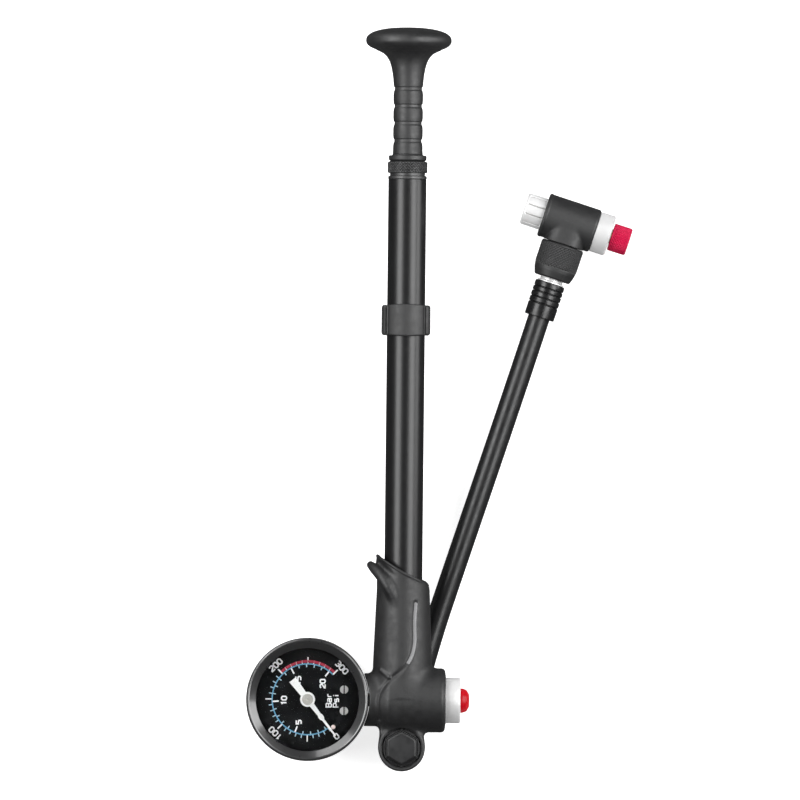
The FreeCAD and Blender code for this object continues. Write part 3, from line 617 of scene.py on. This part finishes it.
def base_field(x, y, z):
    """The casting with the hollow behind the boss and the bores and seats of the pieces that it carries."""
    mouth = np.interp(x, MOUTH_X, MOUTH_Y)
    body = base_surface(x, y, z)
    over_pivot = np.hypot(x, y - BOSS_Y)
    pocket = np.maximum(z - BACK_Z, over_pivot - 27)
    body = smooth_max(body, -pocket, 0.5)
    flare = np.clip(y - mouth + 1.2, 0, 2) * 0.35
    bore = np.maximum(np.hypot(x, z) - SOCKET_BORE_R - flare, 13 - y)
    body = smooth_max(body, -bore, 0.35)
    body = smooth_max(body, GAUGE_BORE_R - np.hypot(x - GAUGE_X, y), 0.5)
    recess = np.maximum(over_pivot - RECESS_R, 4.7 - z)
    body = smooth_max(body, -recess, 0.3)
    under = np.maximum(over_pivot - 6.3, 3.4 - z)
    bolt = np.maximum(over_pivot - BOLT_BORE_R, z - 1.5)
    sleeve = np.maximum(np.hypot(y, z) - SLEEVE_BORE_R, 7.0 - x)
    stem = np.maximum(np.hypot(y, z) - STEM_BORE_R, x + 4.0)
    seat = np.maximum(np.hypot(y, z) - SEAT_R, 14.3 - x)
    for hollow in (under, bolt, sleeve, stem, seat):
        body = np.maximum(body, -hollow)
    return body


def base_body():
    step = 0.3
    piece = field_piece("base_casting", base_field, (-15, -25.5, -12.6), (16.6, 50.6, 12.6), step, PUMP)
    fit(piece, "pump", "body", "base_body")


def base_s_highlight():
    """Light grey line in the upper part of the S groove, a painted highlight in place of the light that its
    edge catches; it follows the casting's front.
    """
    path = np.array([tuple(point) for point in smooth_path(S_LINE[:S_HIGHLIGHT_POINTS])])
    height = np.full(len(path), 13.0)
    for _ in range(60):
        height -= 0.8 * base_surface(path[:, 0], path[:, 1], height)
    centre = np.column_stack([path, height + 0.02])
    around = 14
    along = np.gradient(centre, axis=0)
    along /= np.linalg.norm(along, axis=1)[:, None]
    side = np.cross(along, (0, 0, 1.0))
    side /= np.linalg.norm(side, axis=1)[:, None]
    lift = np.cross(side, along)
    angle = np.arange(around) * 2 * math.pi / around
    taper = np.minimum(1, 0.35 + np.minimum(np.arange(len(path)), np.arange(len(path))[::-1]) / 5)
    half = 0.75 * taper[:, None, None]
    points = centre[:, None] + half * (side[:, None] * np.cos(angle)[None, :, None]
                                       + 0.45 * lift[:, None] * np.sin(angle)[None, :, None])
    faces = ring_faces(len(path), around) + end_caps(len(path), around)
    line = mesh_piece("base_s_highlight", points.reshape(-1, 3), faces, PUMP, sharp_degrees=60)
    fit(line, "pump", "chrome", material=S_LINE_PAINTED_HIGHLIGHT)


def pivot_plug():
    """Six-sided cap in the boss: a thin raised edge, a shallow groove inside it and a bevelled flat top."""
    rings = ((3.5, 6.2, 0), (4.9, 6.2, 0), (4.95, 6.5, 0.9), (5.75, 6.5, 0.9), (5.95, 6.3, 0.9),
             (5.7, 5.95, 0.9), (5.75, 5.8, 0.9), (6.65, 5.45, 0.85), (6.95, 4.9, 0.8))
    around, half_side = 180, math.tau / 12
    points = []
    for z, reach, facets in rings:
        for n in range(around):
            turn = n * math.tau / around
            within = (turn + half_side) % (2 * half_side) - half_side
            flat = math.cos(half_side) / math.cos(within)
            radius = reach * (1 + facets * (flat - 1))
            points.append((radius * math.cos(turn), BOSS_Y + radius * math.sin(turn), z))
    faces = ring_faces(len(rings), around) + end_caps(len(rings), around)
    piece = mesh_piece("boss_plug", points, faces, PUMP, sharp_degrees=12)
    add_bevel(piece, 0.08)
    fit(piece, "pump", "plug", "pivot_plug")


# ---- gauge ----
GAUGE = (GAUGE_X, 0, 0)
ZERO_DEGREES, PSI_DEGREES, BAR_DEGREES = 315, 9, 13.1  # both scales' zero, 10 psi and 1 bar


def gauge_shell():
    case = [(-17.5, 13.1), (-17.5, 19.9, 1.6), (4.4, 19.9), (4.4, 18.9), (-16.5, 18.9), (-16.5, 13.1)]
    fit(turned("gauge_cup", case, PUMP, "Z", GAUGE, 192), "pump", "gauge_case", "gauge_case")
    cover = [(-15.6, 0), (-15.6, 15.5), (-16.45, 15.5), (-16.45, 13.0), (-20.5, 13.0, 0.3),
             (-21.5, 12.0, 0.4), (-21.5, 0)]
    fit(turned("gauge_cover", cover, PUMP, "Z", GAUGE, 128), "pump", "gauge_case", "gauge_back_cover")
    bezel = [(-1.5, 19.93), (-1.5, 20.6, 0.3), (6.9, 20.6, 0.2), (7.15, 20.25, 0.15), (7.4, 20.6, 0.15),
             (8.2, 20.5, 0.4), (8.6, 19.9, 0.25), (8.45, 19.5, 0.2), (6.75, 17.3, 0.2), (6.25, 17.3),
             (6.25, 18.9), (4.6, 18.9), (4.6, 19.93)]
    fit(turned("gauge_ring", bezel, PUMP, "Z", GAUGE, 256), "pump", "bezel", "gauge_bezel")
    lens = [(5.2, 0), (5.2, 18.8), (6.2, 18.8), (6.2, 0)]
    fit(turned("gauge_window", lens, PUMP, "Z", GAUGE, 128), "pump", "lens", "gauge_lens")


def ribbon(path, width):
    """Left and right sides of a band of one width along a path, mitred at its corners."""
    path = [Vector(point) for point in path]
    left, right = [], []
    for n, here in enumerate(path):
        before = path[n - 1] if n else None
        after = path[n + 1] if n < len(path) - 1 else None
        into = (here - before).normalized() if before else (after - here).normalized()
        out = (after - here).normalized() if after else into
        normal = Vector((-(into + out).y, (into + out).x)).normalized()
        reach = width / 2 / max(0.5, normal.dot(Vector((-into.y, into.x))))
        left.append(here + normal * reach)
        right.append(here - normal * reach)
    return left, right


def print_bands(name, bands, material):
    """Raised print on the dial: bands of (path, width), each a thin closed solid."""
    points, faces = [], []
    for path, width in bands:
        left, right = ribbon(path, width)
        base, count = len(points), len(left)
        for z in PRINT_Z:
            points += [(GAUGE_X + p.x, p.y, z) for p in left + right]
        low_left, low_right, top_left, top_right = (base + count * n for n in range(4))
        for n in range(count - 1):
            m = n + 1
            faces += [(top_left + n, top_right + n, top_right + m, top_left + m),
                      (low_left + n, low_left + m, low_right + m, low_right + n),
                      (low_left + n, top_left + n, top_left + m, low_left + m),
                      (low_right + n, low_right + m, top_right + m, top_right + n)]
        for n in (0, count - 1):
            faces.append((low_left + n, low_right + n, top_right + n, top_left + n))
    piece = mesh_piece(name, points, faces, PUMP, sharp_degrees=20, merge=False)
    turn_outward(piece.data)
    fit(piece, "pump", "dial", material=material)


def polar(radius, degrees):
    return Vector((radius * math.cos(math.radians(degrees)), radius * math.sin(math.radians(degrees))))


def arc(radius, start, end, step=2.0):
    """Points about step degrees apart."""
    count = max(2, round(abs(end - start) / step))
    return [polar(radius, start + (end - start) * n / count) for n in range(count + 1)]


GLYPH_HEIGHT = 1.4  # where the width is 1
GLYPHS = {
    "0": [[(0.25, 0), (0.75, 0), (1, 0.25), (1, 1.15), (0.75, 1.4), (0.25, 1.4), (0, 1.15), (0, 0.25),
           (0.25, 0)]],
    "1": [[(0.2, 1.15), (0.6, 1.4), (0.6, 0)]],
    "2": [[(0, 1.15), (0.25, 1.4), (0.75, 1.4), (1, 1.15), (1, 0.85), (0, 0.2), (0, 0), (1, 0)]],
    "3": [[(0, 1.4), (0.75, 1.4), (1, 1.15), (1, 0.95), (0.75, 0.72), (0.3, 0.72)],
          [(0.75, 0.72), (1, 0.5), (1, 0.25), (0.75, 0), (0, 0)]],
    "5": [[(1, 1.4), (0, 1.4), (0, 0.8), (0.75, 0.8), (1, 0.6), (1, 0.2), (0.75, 0), (0, 0)]],
    "B": [[(0, 0), (0, 1.4), (0.75, 1.4), (1, 1.2), (1, 0.95), (0.75, 0.72), (0, 0.72)],
          [(0.75, 0.72), (1, 0.5), (1, 0.22), (0.75, 0), (0, 0)]],
    "P": [[(0, 0), (0, 1.4), (0.75, 1.4), (1, 1.2), (1, 0.8), (0.75, 0.6), (0, 0.6)]],
    "a": [[(0.1, 0.95), (0.8, 0.95), (0.9, 0.8), (0.9, 0), (0.1, 0), (0, 0.12), (0, 0.4), (0.1, 0.5),
           (0.9, 0.5)]],
    "r": [[(0.1, 0), (0.1, 0.95)], [(0.1, 0.7), (0.35, 0.95), (0.8, 0.95)]],
    "s": [[(0.9, 0.95), (0.15, 0.95), (0, 0.85), (0, 0.6), (0.15, 0.5), (0.75, 0.5), (0.9, 0.38),
           (0.9, 0.12), (0.75, 0), (0, 0)]],
    "i": [[(0.4, 0), (0.4, 0.95)], [(0.4, 1.2), (0.4, 1.42)]],
}


def text_bands(text, centre, degrees, height, width=0.46, advance=1.38):
    """Stroke lettering centred on a point; degrees is the reading direction."""
    size = height / GLYPH_HEIGHT
    start = -((len(text) - 1) * advance + 1) / 2
    turn = Matrix.Rotation(math.radians(degrees), 2)
    bands = []
    for number, letter in enumerate(text):
        for stroke in GLYPHS[letter]:
            path = [Vector((x + start + number * advance, y - GLYPH_HEIGHT / 2)) * size for x, y in stroke]
            bands.append(([centre + turn @ point for point in path], width))
    return bands


def dial_print():
    """Outer psi scale with its red arc, inner bar scale with its blue arc, numbers and units."""
    white, pale, blue, red = [], [], [], []
    blue.append((arc(11.9, 309, 45), 0.42))
    red.append((arc(12.75, 134, 46), 0.85))
    for number in range(1, 31):
        turn = ZERO_DEGREES - PSI_DEGREES * number
        if number % 10 == 0:
            white.append(([polar(11.9, turn), polar(14.1, turn)], 0.50))
        elif number % 5 == 0:
            white.append(([polar(12.0, turn), polar(14.2, turn)], 0.38))
        else:
            colour = white if number > 20 else pale
            colour.append(([polar(12.0, turn), polar(13.15, turn)], 0.34))
    for number in range(21):
        turn = ZERO_DEGREES - BAR_DEGREES * number
        if number % 5 == 0 and number:
            white.append(([polar(11.8, turn), polar(9.7, turn)], 0.50))
        elif number:
            pale.append(([polar(11.8, turn), polar(10.8, turn)], 0.36))
    for text, turn in (("0", 308.5), ("100", 227), ("200", 133.5), ("300", 43.5)):
        white += text_bands(text, polar(15.7, turn), turn - 90, 1.75)
    for text, place in (("5", (-2.9, -7.7)), ("10", (-7.9, -0.5)), ("15", (-3.2, 6.2)), ("20", (5.0, 5.3))):
        white += text_bands(text, Vector(place), 90, 1.65)
    white += text_bands("Bar", Vector((7.1, -0.2)), 90, 1.75, 0.38, 1.34)
    white += text_bands("Psi", Vector((9.5, -0.2)), 90, 1.75, 0.38, 1.34)
    print_bands("dial_print_red", red, PRINT_RED)
    print_bands("dial_print_blue", blue, PRINT_BLUE)
    print_bands("dial_print_ticks", pale, PRINT_PALE)
    print_bands("dial_print_white", white, PRINT_WHITE)


def needle():
    """Pointer with a broad tail and a small swelling, and a hub disc under the cap."""
    halves = ((-8.3, 1.35), (-2.2, 1.05), (2.2, 0.85), (6.5, 0.62), (7.0, 0.86), (7.9, 0.82), (8.7, 0.44),
              (15.2, 0.3))
    outline = [(x, -half) for x, half in halves] + [(15.6, 0)] + [(x, half) for x, half in reversed(halves)]
    turn = Matrix.Rotation(math.radians(NEEDLE_DEGREES), 2)
    flat = [turn @ Vector(point) for point in outline]
    points = [(GAUGE_X + p.x, p.y, z) for z in (3.6, 3.9) for p in flat]
    pointer = mesh_piece("pointer", points, end_caps(2, len(flat)) + ring_faces(2, len(flat)), PUMP)
    add_bevel(pointer, 0.05)
    fit(pointer, "needle", "needle", "needle")
    disc = [(3.85, 0), (3.85, 2.5, 0.1), (4.3, 2.5, 0.15), (4.3, 0)]
    fit(turned("pointer_hub", disc, PUMP, "Z", GAUGE, 96), "needle", "needle")
    cap = [(4.25, 0), (4.25, 1.85), (4.7, 1.85, 0.2), (4.75, 0.5, 0.2), (4.5, 0.3, 0.1), (4.5, 0)]
    fit(turned("pointer_cap", cap, PUMP, "Z", GAUGE, 96), "needle", "needle_cap", "needle_cap")


def screw_field(x, y, z):
    """Two slotted screws, one each side of the unit lettering."""
    across, along = x - SCREW_X, np.abs(y - SCREW_MIDDLE_Y) - SCREW_APART / 2
    radial = np.hypot(across, along)
    head = smooth_max(smooth_max(radial - SCREW_HEAD_R, z - 3.5, 0.25), 2.85 - z, 0.1)
    slot = smooth_max(np.abs(across) - SLOT_HALF, 3.0 - z, 0.05)
    shank = np.maximum(np.maximum(radial - SCREW_SHANK_R, 0.5 - z), z - 3.0)
    return np.minimum(smooth_max(head, -slot, 0.08), shank)


def stop_pin():
    """Pale pin that the pointer rests against."""
    place = (middle("stop_pin") - ORIGIN) / MM
    corners = [(2.5, 0), (2.5, 0.42), (2.82, 0.42), (2.82, 0.74, 0.1), (4.1, 0.74, 0.3), (4.35, 0.3, 0.2),
               (4.35, 0)]
    pin = turned("pointer_stop", corners, PUMP, "Z", (place.x, place.y, 0), 48)
    fit(pin, "pump", "chrome", "stop_pin", material=PIN_PALE)


def in_slot(centre):
    return abs(centre.x - SCREW_X) < SLOT_HALF and centre.z < SLOT_LIP_Z


def dial_screws():
    piece = field_piece("dial_screw_heads", screw_field, (-21.2, -5.6, 0.3), (-17.8, 5.2, 3.8), 0.12, PUMP)
    fit(piece, "pump", "chrome", "dial_screws", material=ZINC_AND_FLUTE_SHADE)
    paint_faces(piece, PUMP, FINISHES["seal"], in_slot)  # painted shade: the slots' faces dark


# ---- bleed valve ----
def bleed_valve():
    """Chrome sleeve in the end of the cross tube, with the red button in it."""
    sleeve = [(7.05, 1.35), (7.05, 5.6), (14.35, 5.6), (14.35, 7.65), (19.6, 7.65, 0.75), (19.6, 5.4, 0.2),
              (19.25, 5.1), (19.25, 4.15), (17.0, 4.15), (17.0, 5.0), (9.0, 5.0), (9.0, 1.35)]
    fit(turned("bleed_collar", sleeve, PUMP, "X", around=192), "pump", "chrome", "bleed_sleeve")
    button = [(15.4, 0), (15.4, 4.8), (16.8, 4.8), (16.8, 4.1), (20.3, 4.1, 0.3), (21.7, 3.6, 1.2),
              (22.55, 2.0, 1.6), (22.6, 0)]
    dome = turned("bleed_dome", button, PUMP, "X", around=128, steps=8)
    fit(dome, "bleed", "red_plastic", "bleed_button")


# ---- hose clip ----
def clip_field(x, y, z):
    """Block with chamfered front corners, a bulging band across it and a slot for the hose behind."""
    middle_y, half = (CLIP_LOW_Y + CLIP_HIGH_Y) / 2, (CLIP_HIGH_Y - CLIP_LOW_Y) / 2
    block = box_field(x, y, z, (-8.2, CLIP_LOW_Y, -19.5), (8.2, CLIP_HIGH_Y, 4.6), 0.9)
    block = smooth_max(block, 0.7 * (np.abs(x) + z) - 7.85, 0.8)
    bulge = 0.35 * np.clip(1 - (x / CLIP_BAND_HALF) ** 2, 0, 1)
    band = smooth_max(np.hypot(x, z) - CLIP_BAND_R, np.abs(y - middle_y) - half - bulge, 0.5)
    band = smooth_max(smooth_max(band, np.abs(x) - CLIP_BAND_HALF, 0.35), -z, 0.3)
    body = smooth_min(block, band, 0.25)
    wing = np.maximum(np.abs(np.abs(x) - 6.4) - 0.36, 3.9 - z)
    body = smooth_max(body, -wing, 0.2)
    depth = z + HOSE_DEPTH
    throat = np.maximum(np.abs(depth) - CLIP_SLOT_R, CLIP_SLOT_X - x)
    round_end = np.hypot(x - CLIP_SLOT_X, depth) - CLIP_SLOT_R
    lips = np.maximum(x - 7.1, 0) * 0.12
    slot = smooth_min(throat + lips, round_end, 0.1)
    body = smooth_max(body, -slot, 0.5)
    return smooth_max(body, BARREL_R + 0.06 - np.hypot(x, z), 0.15)


def hose_clip():
    step = 0.25
    piece = field_piece("clip_moulding", clip_field, (-9.2, 121.6, -20.6), (9.2, 134.2, 9.1), step, PUMP)
    fit(piece, "clip", "clip", "hose_clip")


# ---- hose arm ----
def lower_ferrule():
    corners = [(7.6, 1.95), (7.6, 4.1, 0.2), (8.0, 4.5, 0.2), (12.6, 4.5, 0.15), (12.9, 4.2), (13.1, 4.2),
               (13.4, 4.5, 0.15), (16.6, 4.5, 0.15), (16.9, 4.2), (17.1, 4.2), (17.4, 4.5, 0.15),
               (21.6, 4.5, 0.3), (22.0, 4.1, 0.15), (22.0, 1.95)]
    fit(turned("foot_ferrule", corners, ARM, "Y", around=160), "hose_arm", "ferrule", "lower_ferrule")


def upper_ferrule():
    corners = [(-6.0, 1.95), (-6.0, 5.1, 0.3)]
    for groove in (-1.4, 0.55, 2.4, 4.1):
        corners += [(groove - 0.32, 5.15, 0.12), (groove, 4.75, 0.1), (groove + 0.32, 5.15, 0.12)]
    corners += [(6.1, 5.05, 0.4), (6.1, 1.95)]
    ferrule = turned("head_ferrule", corners, HEAD, "Y", around=160)
    return fit(ferrule, "hose_arm", "ferrule", "upper_ferrule")


def hose_nipple():
    corners = [(6.15, 0), (6.15, 4.6, 0.2), (6.6, 4.5, 0.2), (6.8, 3.9, 0.2), (7.9, 3.8, 0.3), (8.1, 3.3),
               (12.0, 3.3), (12.0, 0)]
    nipple = turned("head_nipple", corners, HEAD, "Y", around=96)
    return fit(nipple, "hose_arm", "chrome", "hose_nipple")


# ---- head ----
def swivel_sleeve():
    corners = [(7.7, 3.6), (7.7, 5.9, 0.3), (8.2, 6.3, 0.4), (10.2, 6.95, 1.5), (12.4, 7.3, 2.0),
               (19.2, 7.3, 0.5), (19.75, 6.9, 0.2), (19.75, 3.6)]
    relief = diamond_knurl(7.3, 1.1, 0.22, 11.2, 19.1)
    fine = (0.11, 11, 19.3, 6)
    sleeve = turned("knurled_sleeve", corners, HEAD, "Y", around=420, relief=relief, fine=fine)
    return fit(sleeve, "head", "head", "swivel_sleeve")


def head_field(t, s, z):
    """T piece about its own middle: t to the right, s up the hose."""
    tube = smooth_max(np.hypot(s, z) - 7.4, np.abs(t + 0.2) - 9.1, 0.9)
    tube -= 0.15 * np.clip((-8.2 - t) / 0.2, 0, 1)
    square = 2.8  # 2 would make the neck's section a plain ellipse
    rounded = (np.abs(t / 6.8) ** square + np.abs(z / 7.35) ** square) ** (1 / square)
    neck = np.maximum(np.maximum((rounded - 1) * 6.2, -7.55 - s), s)
    body = smooth_min(tube, neck, 0.35)
    nozzle_bore = np.maximum(np.hypot(s, z) - 5.5, t + 3.9)
    collar_bore = np.maximum(np.hypot(s, z) - 2.6, -t)
    neck_bore = np.maximum(np.hypot(t, z) - 3.5, s + 5.6)
    for hollow in (nozzle_bore, collar_bore, neck_bore):
        body = np.maximum(body, -hollow)
    return body


def head_body():
    step = 0.22
    low, high = (-10.2, -8.6, -8.2), (10.0, 8.3, 8.2)
    piece = field_piece("t_piece", head_field, low, high, step, T_PIECE, sharp_degrees=40)
    return fit(piece, "head", "head", "head_body")


def head_collar():
    corners = [(8.95, 2.6), (8.95, 6.9, 0.2), (13.6, 7.0, 0.2), (14.2, 6.5, 0.3), (14.2, 2.6)]
    return fit(turned("silver_collar", corners, T_PIECE, "X", around=160), "head", "silver", "head_collar")


def in_flute(centre):
    return FLUTE_ENDS[0] < centre.x < -9.4 and 4.7 < math.hypot(centre.y, centre.z) < 5.3


def valve_nozzle():
    corners = [(-7.3, 1.8), (-4.0, 1.8), (-4.0, 4.6), (-9.4, 4.6), (-9.4, 5.45), (-15.8, 5.45, 0.3),
               (-16.3, 5.0, 0.15), (-16.3, 3.9), (-8.3, 3.9), (-8.3, 3.6), (-7.3, 3.6)]
    relief = straight_knurl(10, 0.5, *FLUTE_ENDS, 0.2)
    fine = (0.2, -15.8, FLUTE_ENDS[1], 5)
    piece = turned("fluted_nozzle", corners, T_PIECE, "X", around=300, relief=relief, fine=fine)
    fit(piece, "nozzle", "chrome", "valve_nozzle")
    paint_faces(piece, T_PIECE, ZINC_AND_FLUTE_SHADE, in_flute)  # painted shade: darker grey on the flutes' floors
    return piece


def head_knob():
    corners = [(14.5, 0), (14.5, 4.4, 0.2), (14.8, 4.7, 0.2), (20.4, 4.7, 0.2), (20.8, 4.3, 0.25),
               (20.8, 0)]
    relief = diamond_knurl(4.7, 1.1, 0.25, 14.9, 20.35)
    fine = (0.1, 14.8, 20.4, 4)
    knob = turned("knurled_knob", corners, T_PIECE, "X", around=324, relief=relief, fine=fine)
    return fit(knob, "head_knob", "red_metal", "head_knob")


# ---- everything else keeps its CAD mesh ----
CAD_SHARP_DEGREES = 35
CARRIED = {
    "steel": ("plunger_rod", "pivot_bolt", "check_valve_spring", "bleed_spring", "bleed_stem",
              "sector_gear"),
    "inner_plastic": ("piston", "gland_bush", "check_valve_seat", "check_valve_disc"),
    "seal": ("piston_seal", "rod_bumper", "barrel_seal", "wiper_seal", "pivot_seals", "bleed_seal",
             "nozzle_seal", "pin_seal"),
    "brass": ("gauge_stem", "bourdon_tube", "movement_frame", "pinion_arbor", "valve_pin",
              "knob_spindle"),
    "dial": ("gauge_dial",),
    "banjo": ("banjo",),
}


def carry_over():
    """Finish the CAD meshes that are shown as they are."""
    for slot, nodes in CARRIED.items():
        for node in nodes:
            obj = frame["nodes"][node]
            obj.data.materials.clear()
            obj.data.materials.append(FINISHES[slot])
            obj.data.polygons.foreach_set("use_smooth", [True] * len(obj.data.polygons))
            obj.data.set_sharp_from_angle(angle=math.radians(CAD_SHARP_DEGREES))


# ---- studio ----
FLOOR_GLOW, ROOM_GLOW = 0.78, 0.09


def softbox(name, location, target, size, power):
    """Rectangular light of a size in metres and a power in watts, aimed at a point."""
    data = bpy.data.lights.new(name, "AREA")
    data.shape = "RECTANGLE"
    data.size, data.size_y = size
    data.energy = power
    light = add_object(name, data)
    light.location = location
    aim = (Vector(target) - Vector(location)).normalized()
    light.rotation_euler = aim.to_track_quat("-Z", "Y").to_euler()
    return light


def pale_floor():
    """Plain floor, bright enough to stay pale under the piece; it isn't mirrored in the gloss."""
    mesh = bpy.data.meshes.new("floor")
    half = 3.0
    corners = [(-half, -half, 0), (half, -half, 0), (half, half, 0), (-half, half, 0)]
    mesh.from_pydata(corners, [], [(0, 1, 2, 3)])
    floor = add_object("floor", mesh)
    paint = finish("pale floor", (0.84, 0.84, 0.84), 0.8, grain_mm=3.0, depth_mm=0.02, tone=0.01,
                   specular=0.2)
    shader = paint.node_tree.nodes["Principled BSDF"]
    shader.inputs["Emission Color"].default_value = (1, 1, 1, 1)
    shader.inputs["Emission Strength"].default_value = FLOOR_GLOW
    mesh.materials.append(paint)
    floor.visible_glossy = False
    return floor


def place_around(centre, distance, elevation, azimuth):
    """Place at a height angle and a compass angle from +X, in degrees, seen from a point."""
    up, turn = math.radians(elevation), math.radians(azimuth)
    way = Vector((math.cos(up) * math.cos(turn), math.cos(up) * math.sin(turn), math.sin(up)))
    return Vector(centre) + distance * way


def studio():
    """Two softboxes, left and right of a dark gap overhead, and two low ones to catch the bezel."""
    upper, gauge = (0, 0.2, 0.02), (-0.02, -0.1, 0.02)
    lights = [softbox("left box", place_around(upper, 0.8, 49, 180), upper, (0.9, 0.43), 7.0),
              softbox("right box", place_around(upper, 0.8, 49, 0), upper, (0.9, 0.43), 7.0),
              softbox("low right box", place_around(gauge, 1.2, 14.6, 15), gauge, (0.6, 0.45), 3.8),
              softbox("low far box", place_around(gauge, 1.2, 14.6, 122), gauge, (0.9, 0.45), 3.4)]
    world = bpy.data.worlds.new("dim room")
    world.use_nodes = True
    background = world.node_tree.nodes["Background"]
    background.inputs["Color"].default_value = (1, 1, 1, 1)
    background.inputs["Strength"].default_value = ROOM_GLOW
    bpy.context.scene.world = world
    bpy.context.scene.view_settings.view_transform = "Standard"
    pale_floor()


# ---- build ----
add_camera()
hose = add_hose()
handle_grip()
handle_ferrule()
barrel()
gland_cap()
base_body()
base_s_highlight()
pivot_plug()
gauge_shell()
dial_print()
dial_screws()
stop_pin()
needle()
bleed_valve()
hose_clip()
lower_ferrule()
on_hose = [upper_ferrule(), hose_nipple(), swivel_sleeve(), head_body(), head_collar(), valve_nozzle(),
           head_knob()]
on_hose += [frame["nodes"][node] for node in ("nozzle_seal", "valve_pin", "pin_seal", "knob_spindle")]
carry_over()
studio()
